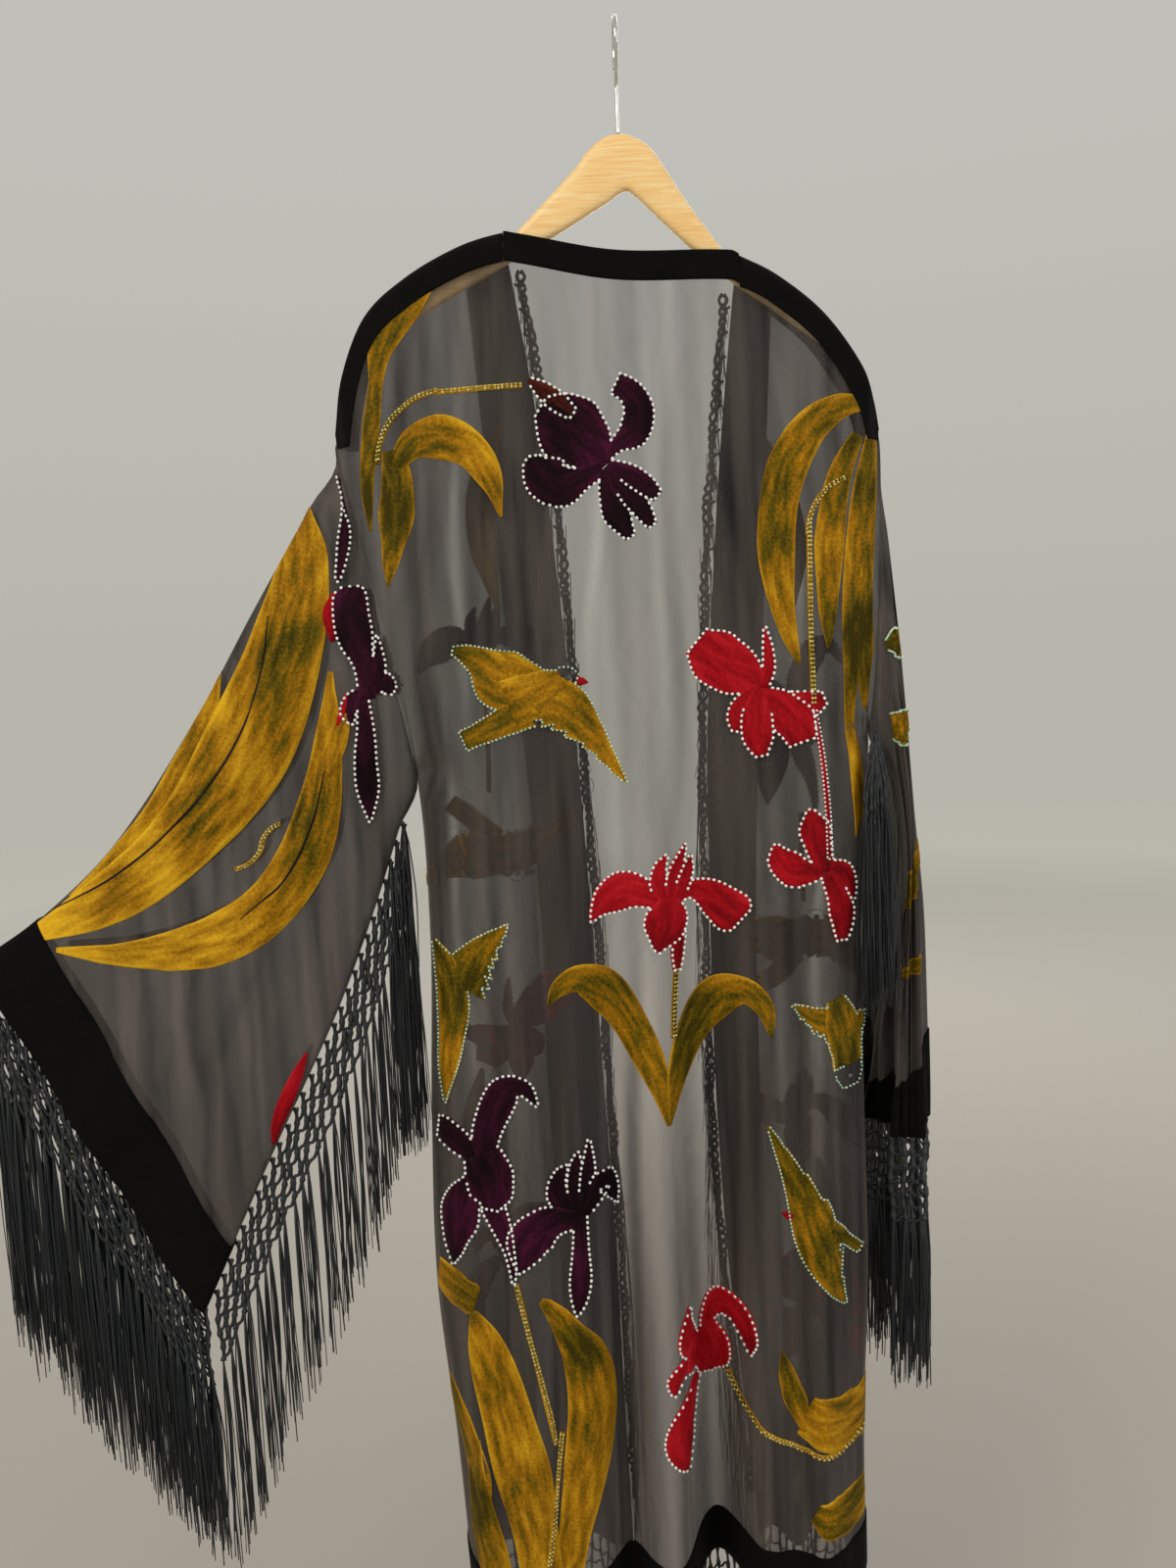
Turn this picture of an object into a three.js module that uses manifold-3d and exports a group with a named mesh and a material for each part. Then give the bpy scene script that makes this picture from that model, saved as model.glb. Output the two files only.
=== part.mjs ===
// Long open jacket of sheer burnt-out velvet, hung on a wooden hanger.
// Millimetres, +Z up. The origin is inside the crown of the hanger's hook.
// The back faces -Y, the fronts face +Y, and the wearer's right is +X.
// In the tables, `drop` is how far a place lies below the crown.

import * as THREE from 'three';
import * as BufferGeometryUtils from 'three/addons/utils/BufferGeometryUtils.js';
import Module from 'manifold-3d';

const wasm = await Module();
wasm.setup();

// Driving sizes
const CLOTH = 2;            // wall of a cloth panel
const BAND = 1.5;           // wall of a velvet band
const GAP = 0.3;            // between two pieces at a seam
const BAND_WIDTH = 22;      // neck and shoulder bands
const HEM_BAND_WIDTH = 45;
const TOP_ROUND = 9;        // how soon the cloth rounds over the shoulder
const SIDE_ROUND = 30;      // how far the side seam's rounding reaches
const CONTOUR = 22;         // how far the hanger's tips curve forward
const CONTOUR_REACH = 200;
const SLEEVE_CUT = { shoulder: 300, underarm: 565 };
const SLEEVE_CUT_RIGHT = { shoulder: 312, underarm: 543 };
const ARMHOLE_OPEN = 17;    // half the armhole's width, front to back
const NET_DROP = 70;        // knotted header of a fringe
const NET_SIDE = 20;        // the same header beside an upright edge
const NET_WALL = 3;
const STRAND_RADIUS = 1.4;
const HEM_DROP = { left: 1312, right: 1302 };

// Top of the back panel, from the left armhole over the neck to the right armhole.
// `low` is where the column hangs below the underarm, -1 left side seam, 1 right side seam.
const topLine = [
  { u: 0.000, x: -239, drop: 300.0, low: -1.000, parts: 2 },
  { u: 0.080, x: -228, drop: 248.0, low: -0.975, parts: 2 },
  { u: 0.150, x: -207, drop: 204.0, low: -0.930, parts: 3 },
  { u: 0.230, x: -172, drop: 177.0, low: -0.840, parts: 3 },
  { u: 0.310, x: -127, drop: 157.0, low: -0.660, parts: 3 },
  { u: 0.370, x: -92, drop: 149.5, low: -0.490, parts: 1 },
  { u: 0.385, x: -84, drop: 151.0, low: -0.450, parts: 5 },
  { u: 0.500, x: -6, drop: 168.0, low: -0.020, parts: 5 },
  { u: 0.625, x: 83, drop: 170.5, low: 0.445, parts: 1 },
  { u: 0.640, x: 90, drop: 173.5, low: 0.485, parts: 3 },
  { u: 0.710, x: 120, drop: 188.0, low: 0.660, parts: 3 },
  { u: 0.790, x: 157, drop: 216.0, low: 0.840, parts: 3 },
  { u: 0.870, x: 186, drop: 253.0, low: 0.930, parts: 2 },
  { u: 0.930, x: 198, drop: 282.0, low: 0.965, parts: 2 },
  { u: 1.000, x: 204, drop: 312.0, low: 1.000, parts: 0 },
];
const NECK = { left: 0.370, leftIn: 0.385, rightIn: 0.625, right: 0.640 };
const FRONT_BAND = { left: 0.310, right: 0.710 };

// Outline of the body: side seams and front edges, and how far each layer stands out.
const outline = [
  { drop: 150, left: -239, right: 206, frontLeft: -90, frontRight: 89, back: 9, front: 9 },
  { drop: 300, left: -239, right: 204, frontLeft: -70, frontRight: 74, back: 15, front: 15 },
  { drop: 430, left: -212, right: 197, frontLeft: -61, frontRight: 65, back: 25, front: 24 },
  { drop: 565, left: -185, right: 187, frontLeft: -52, frontRight: 59, back: 33, front: 34 },
  { drop: 700, left: -181, right: 180, frontLeft: -46, frontRight: 58, back: 36, front: 40 },
  { drop: 860, left: -189, right: 180, frontLeft: -41, frontRight: 59, back: 38, front: 44 },
  { drop: 1010, left: -193, right: 182, frontLeft: -36, frontRight: 65, back: 40, front: 46 },
  { drop: 1150, left: -184, right: 177, frontLeft: -34, frontRight: 76, back: 40, front: 48 },
  { drop: 1310, left: -177, right: 177, frontLeft: -31, frontRight: 90, back: 40, front: 50 },
];

// Folds that hang in a panel: middle at the top and at the hem, half width,
// and how far the fold stands out there. Less than nothing is a hollow between folds.
const backFolds = [
  { start: 300, top: -150, hem: -150, half: 38, topDeep: 5, hemDeep: 22 },
  { start: 330, top: -104, hem: -112, half: 40, topDeep: 3, hemDeep: 34 },
  { start: 420, top: -62, hem: -70, half: 32, topDeep: 1, hemDeep: 28 },
  { start: 560, top: -30, hem: -33, half: 20, topDeep: 0, hemDeep: -15 },
  { start: 480, top: 0, hem: 2, half: 32, topDeep: 1, hemDeep: 24 },
  { start: 560, top: 44, hem: 48, half: 36, topDeep: -1, hemDeep: -28 },
  { start: 420, top: 96, hem: 93, half: 28, topDeep: 2, hemDeep: 9 },
  { start: 330, top: 136, hem: 131, half: 32, topDeep: 4, hemDeep: 20 },
];
const leftFolds = [
  { start: 320, top: -158, hem: -152, half: 30, topDeep: 4, hemDeep: 16 },
  { start: 420, top: -116, hem: -112, half: 26, topDeep: -2, hemDeep: -16 },
  { start: 360, top: -84, hem: -74, half: 30, topDeep: 2, hemDeep: 20 },
];
const rightFolds = [
  { start: 320, top: 150, hem: 152, half: 26, topDeep: 3, hemDeep: 18 },
  { start: 420, top: 118, hem: 124, half: 22, topDeep: -2, hemDeep: -14 },
  { start: 360, top: 92, hem: 104, half: 20, topDeep: 2, hemDeep: 14 },
];

// Left sleeve, held out flat: upper fold and lower seam, and half its depth.
const leftSleeve = [
  { t: 0.00, upX: -239, upDrop: 300, lowX: -185, lowDrop: 565, half: 17, power: 2.0 },
  { t: 0.11, upX: -266, upDrop: 352, lowX: -204, lowDrop: 619, half: 15, power: 3.0 },
  { t: 0.26, upX: -315, upDrop: 416, lowX: -231, lowDrop: 691, half: 13, power: 4.5 },
  { t: 0.44, upX: -369, upDrop: 489, lowX: -268, lowDrop: 776, half: 12, power: 6.0 },
  { t: 0.70, upX: -444, upDrop: 608, lowX: -330, lowDrop: 895, half: 12, power: 6.0 },
  { t: 0.87, upX: -508, upDrop: 672, lowX: -369, lowDrop: 973, half: 12, power: 6.0 },
  { t: 1.00, upX: -561, upDrop: 713, lowX: -399, lowDrop: 1033, half: 12, power: 6.0 },
];

// Right sleeve, hanging straight down as a loop: upper fold, lower seam, and its
// reach forward and backward from their middle.
const rightSleeve = [
  { t: 0.00, upX: 204, upY: 22, upDrop: 312, lowX: 189, lowY: 0, lowDrop: 543, half: 17 },
  { t: 0.12, upX: 209, upY: 26, upDrop: 385, lowX: 202, lowY: -12, lowDrop: 582, half: 22 },
  { t: 0.24, upX: 215, upY: 34, upDrop: 458, lowX: 209, lowY: -13, lowDrop: 630, half: 31 },
  { t: 0.36, upX: 221, upY: 46, upDrop: 530, lowX: 209, lowY: -6, lowDrop: 678, half: 44 },
  { t: 0.50, upX: 228, upY: 58, upDrop: 612, lowX: 206, lowY: 20, lowDrop: 730, half: 62 },
  { t: 0.70, upX: 236, upY: 66, upDrop: 722, lowX: 202, lowY: 50, lowDrop: 800, half: 78 },
  { t: 1.00, upX: 236, upY: 72, upDrop: 894, lowX: 202, lowY: 64, lowDrop: 896, half: 84 },
];
const SLEEVE_ROWS = [0, 0.07, 0.15, 0.24, 0.34, 0.45, 0.56, 0.67, 0.77, 0.87, 0.935, 1];
const SLEEVE_RIGHT_ROWS = [0, 0.07, 0.15, 0.24, 0.34, 0.46, 0.58, 0.7, 0.81, 0.91, 0.955, 1];
const LEFT_RING = 28;
const RIGHT_RING = 45;
const LEFT_RIPPLE = { deep: 4, across: 2.5, along: 0.6 };
const RIGHT_RIPPLE = { deep: 12, atEnds: 4, count: 9, twist: 1.4 };

// Wooden hanger: upper and lower edge along its length.
const woodLine = [
  { x: -193, top: 196, low: 207, half: 3.5 },
  { x: -189, top: 191.5, low: 211, half: 5.5 },
  { x: -172, top: 179, low: 209.5, half: 6.5 },
  { x: -150, top: 168.6, low: 199.5, half: 6.5 },
  { x: -127, top: 159.4, low: 188.5, half: 6.5 },
  { x: -105, top: 157, low: 178, half: 6.2 },
  { x: -90, top: 155.5, low: 171, half: 6 },
  { x: -78, top: 145, low: 165, half: 6 },
  { x: -56, top: 125, low: 154.5, half: 6 },
  { x: -32, top: 102, low: 142, half: 6 },
  { x: -24, top: 92, low: 137.5, half: 6 },
  { x: -10, top: 82.5, low: 130, half: 6 },
  { x: 0, top: 81, low: 123.5, half: 6 },
  { x: 7, top: 81.5, low: 122.5, half: 6 },
  { x: 22, top: 89.5, low: 136, half: 6 },
  { x: 32, top: 102, low: 145.5, half: 6 },
  { x: 50, top: 130, low: 162.5, half: 6 },
  { x: 67, top: 153, low: 177, half: 6 },
  { x: 81, top: 171, low: 188, half: 6 },
  { x: 95, top: 181, low: 198, half: 6 },
  { x: 118, top: 190, low: 213, half: 6.2 },
  { x: 140, top: 204.6, low: 228, half: 6.5 },
  { x: 157, top: 218.6, low: 239, half: 6.5 },
  { x: 172, top: 235.5, low: 249.5, half: 6 },
  { x: 181, top: 248, low: 256, half: 4.5 },
];
const WOOD_ROUND = 4;
const WIRE = 1.6;           // half the hook wire's thickness
const HOOK_RADIUS = 17.6;   // to the middle of the wire
const SHANK_TOP = 50;       // drop where the straight shank begins
const SHANK_LOW = 80.6;     // drop where it meets the wood

// Fringe: strands, and their length at the first and at the last one
const fringes = {
  fringe_cuff_left: { count: 36, first: 290, last: 190 },
  fringe_cuff_right: { count: 28, first: 170, last: 180 },
  fringe_sleeve_left: { count: 30, first: 190, last: 215 },
  fringe_sleeve_right: { count: 10, first: 165, last: 165 },
  fringe_front_left: { count: 24, first: 210, last: 210 },
  fringe_front_right: { count: 24, first: 210, last: 210 },
  fringe_hem_back: { count: 34, first: 190, last: 190 },
  fringe_hem_left: { count: 15, first: 190, last: 190 },
  fringe_hem_right: { count: 15, first: 190, last: 190 },
};

const clamp = (x, low, high) => Math.min(Math.max(x, low), high);
const mix = (a, b, t) => a + (b - a) * t;
const smooth = (x) => {
  const t = clamp(x, 0, 1);
  return t * t * (3 - 2 * t);
};
const quarter = (x) => Math.sqrt(1 - (1 - clamp(x, 0, 1)) ** 2);

// Smooth curve through a table: one column as a function of another that grows.
function curve(rows, from, to) {
  const xs = rows.map((row) => row[from]);
  const ys = rows.map((row) => row[to]);
  const last = rows.length - 1;
  const slopes = xs.map((_, i) => {
    const a = Math.max(i - 1, 0);
    const b = Math.min(i + 1, last);
    return (ys[b] - ys[a]) / (xs[b] - xs[a]);
  });
  return (at) => {
    const x = clamp(at, xs[0], xs[last]);
    let i = 0;
    while (i < last - 1 && x > xs[i + 1]) i += 1;
    const width = xs[i + 1] - xs[i];
    const t = (x - xs[i]) / width;
    const rise = t * t * (3 - 2 * t);
    const bend = t * (1 - t) * (1 - t) * slopes[i] - t * t * (1 - t) * slopes[i + 1];
    return mix(ys[i], ys[i + 1], rise) + bend * width;
  };
}

// Columns of a table between two of its rows, each stretch in its own number of parts
function columns(rows, from, to) {
  const list = [];
  for (let i = 0; i < rows.length - 1; i += 1) {
    if (rows[i].u < from || rows[i + 1].u > to) continue;
    for (let k = 0; k < rows[i].parts; k += 1) {
      list.push(mix(rows[i].u, rows[i + 1].u, k / rows[i].parts));
    }
  }
  list.push(to);
  return list;
}

const top = {
  x: curve(topLine, 'u', 'x'),
  drop: curve(topLine, 'u', 'drop'),
  low: curve(topLine, 'u', 'low'),
};
const body = Object.fromEntries(
  Object.keys(outline[0]).slice(1).map((name) => [name, curve(outline, 'drop', name)]),
);
const contour = (x) => CONTOUR * (x / CONTOUR_REACH) ** 2;

// How far the armhole's edge stands from its own middle, at a drop
function armholeOpen(cut, drop) {
  const c = clamp(1 - 2 * (drop - cut.shoulder) / (cut.underarm - cut.shoulder), -1, 1);
  return ARMHOLE_OPEN * Math.sqrt(1 - c * c);
}

const settle = (from, drop) => smooth((drop - from) / (560 - from));

// Middle of the garment, front to back, where the hanger's curve fades out
const armMiddle = (u, drop) => contour(top.x(u)) * (1 - settle(top.drop(u), drop));

// Sum of the folds of a panel at a place
function foldDepth(folds, x, drop) {
  const hem = HEM_DROP.left;
  return folds.reduce((sum, fold) => {
    const down = clamp((drop - fold.start) / (hem - fold.start), 0, 1);
    const grow = smooth((drop - fold.start + 120) / 120);
    const middle = mix(fold.top, fold.hem, down);
    const across = clamp(Math.abs(x - middle) / fold.half, 0, 1);
    const deep = mix(fold.topDeep, fold.hemDeep, down) * grow;
    return sum + deep * Math.cos(across * Math.PI / 2) ** 2;
  }, 0);
}

// A panel is a function of a column u of the top line and a drop below that line.
// side is -1 for the back, 1 for the fronts.
function panelPoint(panel, u, below) {
  const start = top.drop(u);
  const drop = start + below;
  const settled = settle(start, drop);
  const left = body.left(drop);
  const right = body.right(drop);
  const hangX = panel.hang(u, drop);
  const x = hangX + (top.x(u) - panel.hang(u, start)) * (1 - settled);
  const middle = armMiddle(u, drop);
  const onLeft = x < (left + right) / 2;
  const cut = onLeft ? SLEEVE_CUT : SLEEVE_CUT_RIGHT;
  const inside = Math.max(onLeft ? x - left : right - x, 0);
  const down = (drop - cut.shoulder) / (cut.underarm - cut.shoulder);
  const onArmhole = 1 - smooth((drop - cut.underarm + 12) / 40);
  const soft = smooth(inside / mix(16, 40, clamp(down, 0, 1)));
  const across = mix(quarter(inside / SIDE_ROUND), soft, onArmhole);
  const atEdge = mix(GAP / 2, Math.max(armholeOpen(cut, drop), CLOTH / 2 + GAP / 2), onArmhole);
  const closed = panel.closed(u);
  const over = mix(1, quarter(below / TOP_ROUND), closed);
  const out = body[panel.depth](drop);
  const folds = foldDepth(panel.folds, x, drop) * across;
  const rim = CLOTH / 2 + GAP / 2;
  const depth = atEdge + (out - atEdge) * across + folds;
  return new THREE.Vector3(x, middle + panel.side * mix(rim, depth, over), -drop);
}

const sideways = (low) => (u, drop) => {
  const left = body.left(drop);
  const right = body.right(drop);
  return (left + right) / 2 + low(u) * (right - left) / 2;
};
function frontHang(neck, seam, sideColumn, edgeColumn) {
  return (u, drop) => {
    const share = (top.low(u) - seam) / (top.low(neck) - seam);
    return mix(body[sideColumn](drop), body[edgeColumn](drop), share);
  };
}
const panels = {
  back: {
    side: -1,
    depth: 'back',
    folds: backFolds,
    hang: sideways(top.low),
    closed: (u) => (u <= NECK.left || u >= NECK.right ? 1 : 0),
    from: 0,
    to: 1,
  },
  front_left: {
    side: 1,
    depth: 'front',
    folds: leftFolds,
    hang: frontHang(NECK.left, -1, 'left', 'frontLeft'),
    closed: () => 1,
    from: 0,
    to: NECK.left,
  },
  front_right: {
    side: 1,
    depth: 'front',
    folds: rightFolds,
    hang: frontHang(NECK.right, 1, 'right', 'frontRight'),
    closed: () => 1,
    from: NECK.right,
    to: 1,
  },
};

// Rows of a panel, as drops below its top line: close together over the shoulder,
// then even steps to the top of the hem band, and the hem.
const TOP_ROWS = [0, 2.5, 9, BAND_WIDTH];
const LONG_STEPS = 12;
const hemBelow = (u) => mix(HEM_DROP.left, HEM_DROP.right, u) - top.drop(u);
function panelRows(u) {
  const long = hemBelow(u) - HEM_BAND_WIDTH - BAND_WIDTH;
  const rows = [...TOP_ROWS];
  for (let k = 1; k <= LONG_STEPS; k += 1) {
    rows.push(BAND_WIDTH + long * k / LONG_STEPS);
  }
  rows.push(hemBelow(u));
  return rows;
}

const subtract = (a, b) => new THREE.Vector3().subVectors(a, b);

// A lattice is a grid of points with the surface's normals there. `facing` gives a
// direction that points out of the garment, and turns all the normals that way.
function lattice(points, { loop = false, facing } = {}) {
  const n = points.length;
  const m = points[0].length;
  const normals = points.map((line, i) => line.map((_, j) => {
    const before = loop ? points[(i + n - 1) % n][j] : points[Math.max(i - 1, 0)][j];
    const after = loop ? points[(i + 1) % n][j] : points[Math.min(i + 1, n - 1)][j];
    const across = subtract(after, before);
    const down = subtract(points[i][Math.min(j + 1, m - 1)], points[i][Math.max(j - 1, 0)]);
    return across.cross(down).normalize();
  }));
  const agree = points.flatMap((line, i) => line.map((point, j) => (
    normals[i][j].dot(facing(point, i, j))))).reduce((sum, value) => sum + value, 0);
  if (agree < 0) normals.flat().forEach((normal) => normal.negate());
  return { points, normals, loop };
}

// Part of a lattice: its columns and rows from one number to another, with an outer
// column or row drawn in by a distance where the part has to clear its neighbour.
function cutOut({ points, normals, loop }, { us, rows, inset = {} }) {
  const take = (grid) => {
    const lines = us ? grid.slice(us[0], us[1] + 1) : grid;
    return lines.map((line) => line.slice(rows[0], rows[1] + 1).map((item) => item.clone()));
  };
  const part = { points: take(points), normals: take(normals), loop };
  const n = part.points.length;
  const m = part.points[0].length;
  const draw = (i, j, toI, toJ, distance) => {
    const here = part.points[i][j];
    const share = distance / here.distanceTo(part.points[toI][toJ]);
    here.lerp(part.points[toI][toJ], share);
    part.normals[i][j].lerp(part.normals[toI][toJ], share).normalize();
  };
  for (let j = 0; j < m; j += 1) {
    if (inset.first) draw(0, j, 1, j, inset.first);
    if (inset.last) draw(n - 1, j, n - 2, j, inset.last);
  }
  for (let i = 0; i < n; i += 1) {
    if (inset.above) draw(i, 0, i, 1, inset.above);
    if (inset.below) draw(i, m - 1, i, m - 2, inset.below);
  }
  return part;
}

// Turn a mesh of points and triangles so that its faces point out
function solid(points, triangles) {
  const volume = triangles.reduce((sum, [a, b, c]) => (
    sum + points[a].dot(points[b].clone().cross(points[c]))), 0);
  const faces = volume < 0 ? triangles.map(([a, b, c]) => [a, c, b]) : triangles;
  const geometry = new THREE.BufferGeometry();
  const places = new Float32Array(points.flatMap((point) => [point.x, point.y, point.z]));
  geometry.setAttribute('position', new THREE.BufferAttribute(places, 3));
  geometry.setIndex(faces.flat());
  geometry.computeVertexNormals();
  return geometry;
}

// Two triangles for a four-sided face, split along the shorter diagonal of `guide`
function quad(guide, a, b, c, d) {
  const count = guide.length;
  const place = (index) => guide[index % count];
  const first = place(a).distanceToSquared(place(c));
  const second = place(b).distanceToSquared(place(d));
  return first <= second ? [[a, b, c], [a, c, d]] : [[a, b, d], [b, c, d]];
}

// Closed wall on a lattice: its points moved along the normals by two distances.
// `keep` may move each point of the wall once more.
function wall({ points: grid, normals, loop }, near, far, keep = (point) => point) {
  const n = grid.length;
  const m = grid[0].length;
  const points = [near, far].flatMap((distance) => grid.flatMap((line, i) => line.map((point, j) => (
    keep(point.clone().addScaledVector(normals[i][j], distance), i, j)))));
  const guide = grid.flat();
  const at = (side, i, j) => side * n * m + (i % n) * m + j;
  const triangles = [];
  const face = (a, b, c, d) => triangles.push(...quad(guide, a, b, c, d));
  const rim = (a, b, c, d) => triangles.push(...quad(points, a, b, c, d));
  for (let i = 0; i < (loop ? n : n - 1); i += 1) {
    for (let j = 0; j < m - 1; j += 1) {
      face(at(0, i, j), at(0, i, j + 1), at(0, i + 1, j + 1), at(0, i + 1, j));
      face(at(1, i, j), at(1, i + 1, j), at(1, i + 1, j + 1), at(1, i, j + 1));
    }
    rim(at(0, i, 0), at(0, i + 1, 0), at(1, i + 1, 0), at(1, i, 0));
    rim(at(0, i, m - 1), at(1, i, m - 1), at(1, i + 1, m - 1), at(0, i + 1, m - 1));
  }
  for (let j = 0; j < (loop ? 0 : m - 1); j += 1) {
    rim(at(0, 0, j), at(1, 0, j), at(1, 0, j + 1), at(0, 0, j + 1));
    rim(at(0, n - 1, j), at(0, n - 1, j + 1), at(1, n - 1, j + 1), at(1, n - 1, j));
  }
  return solid(points, triangles);
}

// Skin over a row of closed rings, with a flat cap on the first and on the last
function skin(rings) {
  const points = rings.flat();
  const count = rings[0].length;
  const triangles = [];
  for (let i = 0; i < rings.length - 1; i += 1) {
    for (let k = 0; k < count; k += 1) {
      const next = (k + 1) % count;
      const a = i * count;
      const b = a + count;
      triangles.push(...quad(points, a + k, a + next, b + next, b + k));
    }
  }
  const last = (rings.length - 1) * count;
  for (let k = 1; k < count - 1; k += 1) {
    triangles.push([0, k + 1, k]);
    triangles.push([last, last + k, last + k + 1]);
  }
  return solid(points, triangles);
}

// Panels of the body, each a lattice whose columns are `us`
function panelLattice(name) {
  const panel = panels[name];
  const us = columns(topLine, panel.from, panel.to);
  const points = us.map((u) => panelRows(u).map((below) => panelPoint(panel, u, below)));
  return { ...lattice(points, { facing: () => new THREE.Vector3(0, panel.side, 0) }), us };
}
const lattices = Object.fromEntries(Object.keys(panels).map((name) => [name, panelLattice(name)]));

// Keep a wall on its own side of the plane where front and back meet, and inside
// the line of the armhole
const UNDERARM_REACH = 30;
function kept(name, { us }) {
  const { side } = panels[name];
  return (point, i) => {
    const drop = -point.z;
    const stand = side * (point.y - armMiddle(us[i], drop));
    if (stand < GAP / 2) point.y += side * (GAP / 2 - stand);
    if (us[i] < 0.2 && drop < SLEEVE_CUT.underarm + UNDERARM_REACH) {
      point.x = Math.max(point.x, body.left(drop));
    }
    if (us[i] > 0.8 && drop < SLEEVE_CUT_RIGHT.underarm + UNDERARM_REACH) {
      point.x = Math.min(point.x, body.right(drop) - GAP);
    }
    return point;
  };
}

function panelWall(name) {
  return wall(lattices[name], -CLOTH / 2, CLOTH / 2, kept(name, lattices[name]));
}

// A band on a panel: the panel's own points, moved out by the cloth and the gap
const BAND_NEAR = CLOTH / 2 + 1.5 * GAP;
const BAND_FAR = BAND_NEAR + BAND;
function bandWall(name, part) {
  const cut = cutOut(lattices[name], part);
  const { us } = lattices[name];
  const list = { us: us.slice(part.us[0], part.us[1] + 1) };
  return wall(cut, BAND_NEAR, BAND_FAR, kept(name, list));
}

// Shoulder band: over the shoulder from back to front, on the points of both panels
const ARM_CLEAR = 4;        // where it stops short of the sleeve
function shoulderBand(front, backUs, frontUs, inset) {
  const rows = [0, TOP_ROWS.length - 1];
  const behind = cutOut(lattices.back, { us: backUs, rows, inset });
  const before = cutOut(lattices[front], { us: frontUs, rows, inset });
  const join = (key, ridge) => behind[key].map((line, i) => [
    ...line.slice(1).reverse(),
    ridge(line[0], before[key][i][0]),
    ...before[key][i].slice(1),
  ]);
  const points = join('points', (a, b) => a.clone().lerp(b, 0.5).add(new THREE.Vector3(0, 0, GAP)));
  const normals = join('normals', (a, b) => a.clone().add(b).normalize());
  return wall({ points, normals, loop: false }, BAND_NEAR, BAND_FAR);
}

// Sleeves: a ring of points at each t, with a flat, blunt or round section
function ring(count, place) {
  return Array.from({ length: count }, (_, k) => place(k * 2 * Math.PI / count));
}
const blunt = (c, power) => Math.max(1 - Math.abs(c) ** power, 0) ** (1 / power);

function sleeveTable(rows) {
  return Object.fromEntries(Object.keys(rows[0]).slice(1).map((name) => [name, curve(rows, 't', name)]));
}
const leftCut = sleeveTable(leftSleeve);
const rightCut = sleeveTable(rightSleeve);
const SEAM_SHIFT = 3 * GAP;

function leftSleevePoint(angle, t) {
  const c = Math.cos(angle);
  const share = (1 - c) / 2;
  const drop = mix(leftCut.upDrop(t), leftCut.lowDrop(t), share);
  const fade = 1 - smooth(t / 0.5);
  const seam = 1 - smooth(t / 0.1);
  const bulge = leftCut.half(t) * blunt(c, leftCut.power(t)) * Math.sign(Math.sin(angle));
  const turn = 2 * Math.PI * (LEFT_RIPPLE.across * share + LEFT_RIPPLE.along * t);
  const ripple = LEFT_RIPPLE.deep * Math.sin(turn) * smooth(t / 0.3) * Math.sin(Math.PI * share);
  const x = mix(leftCut.upX(t), leftCut.lowX(t), share);
  return new THREE.Vector3(
    mix(x, body.left(drop), seam) - SEAM_SHIFT,
    armMiddle(0, drop) * fade + bulge + ripple,
    -drop,
  );
}

// The right sleeve's loop is an oval from its upper fold to its lower seam, with soft
// folds that run down it and stand out along the oval's own normal.
function rightSleevePoint(angle, t) {
  const c = Math.cos(angle);
  const s = Math.sin(angle);
  const up = new THREE.Vector3(rightCut.upX(t), rightCut.upY(t), -rightCut.upDrop(t));
  const low = new THREE.Vector3(rightCut.lowX(t), rightCut.lowY(t), -rightCut.lowDrop(t));
  const half = rightCut.half(t);
  const reach = up.distanceTo(low) / 2;
  const point = up.clone().lerp(low, (1 - c) / 2);
  point.y += half * s;
  const normal = subtract(up, low).normalize().multiplyScalar(c / reach);
  normal.y += s / half;
  const turn = RIGHT_RIPPLE.count * angle + RIGHT_RIPPLE.twist * t;
  const ripple = mix(RIGHT_RIPPLE.atEnds, RIGHT_RIPPLE.deep, c * c) * Math.sin(turn) * smooth(t / 0.4);
  point.addScaledVector(normal.normalize(), ripple);
  const seam = 1 - smooth(t / 0.12);
  const drop = -point.z;
  const flat = armMiddle(1, drop) + half * s;
  return new THREE.Vector3(
    mix(point.x, body.right(drop), seam) + SEAM_SHIFT,
    mix(point.y, flat, seam),
    point.z,
  );
}

function sleeveLattice(place, count, rows) {
  const points = ring(count, (angle) => rows.map((t) => place(angle, t)));
  const middles = rows.map((_, j) => points.reduce((sum, line) => (
    sum.add(line[j])), new THREE.Vector3()).divideScalar(count));
  return lattice(points, { loop: true, facing: (point, i, j) => subtract(point, middles[j]) });
}
const SEAM_DROP = { sleeve: 4, cuff: 8.4 };
const SEAM_STEPS = [0.07, 0.14, 0.22, 0.3, 0.4, 0.5, 0.6, 0.7, 0.8, 0.88, 0.96];

// Plumb line behind the right sleeve, where the fringe of its seam is bunched
const BUNCH = { x: 206, y: -28.3, top: 566, low: 650, width: 24 };
const bunchLine = [BUNCH.top, BUNCH.low].map((drop) => new THREE.Vector3(BUNCH.x, BUNCH.y, -drop));
const leftSleeveLattice = sleeveLattice(leftSleevePoint, LEFT_RING, SLEEVE_ROWS);
const rightSleeveLattice = sleeveLattice(rightSleevePoint, RIGHT_RING, SLEEVE_RIGHT_ROWS);

// A sleeve's wall, kept outside the line of its armhole
function sleeveWall(sleeve, side) {
  return wall(sleeve, -CLOTH / 2, CLOTH / 2, (point, i, j) => {
    if (j === 0 && side < 0) point.x = Math.min(point.x, body.left(-point.z) - GAP);
    if (j === 0 && side > 0) point.x = Math.max(point.x, body.right(-point.z) + GAP);
    return point;
  });
}

// Cuff band: the last rows of the sleeve, moved out
function cuffBand(sleeve) {
  const last = sleeve.points[0].length - 1;
  return wall(cutOut(sleeve, { rows: [last - 2, last] }), BAND_NEAR, BAND_FAR);
}

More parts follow.
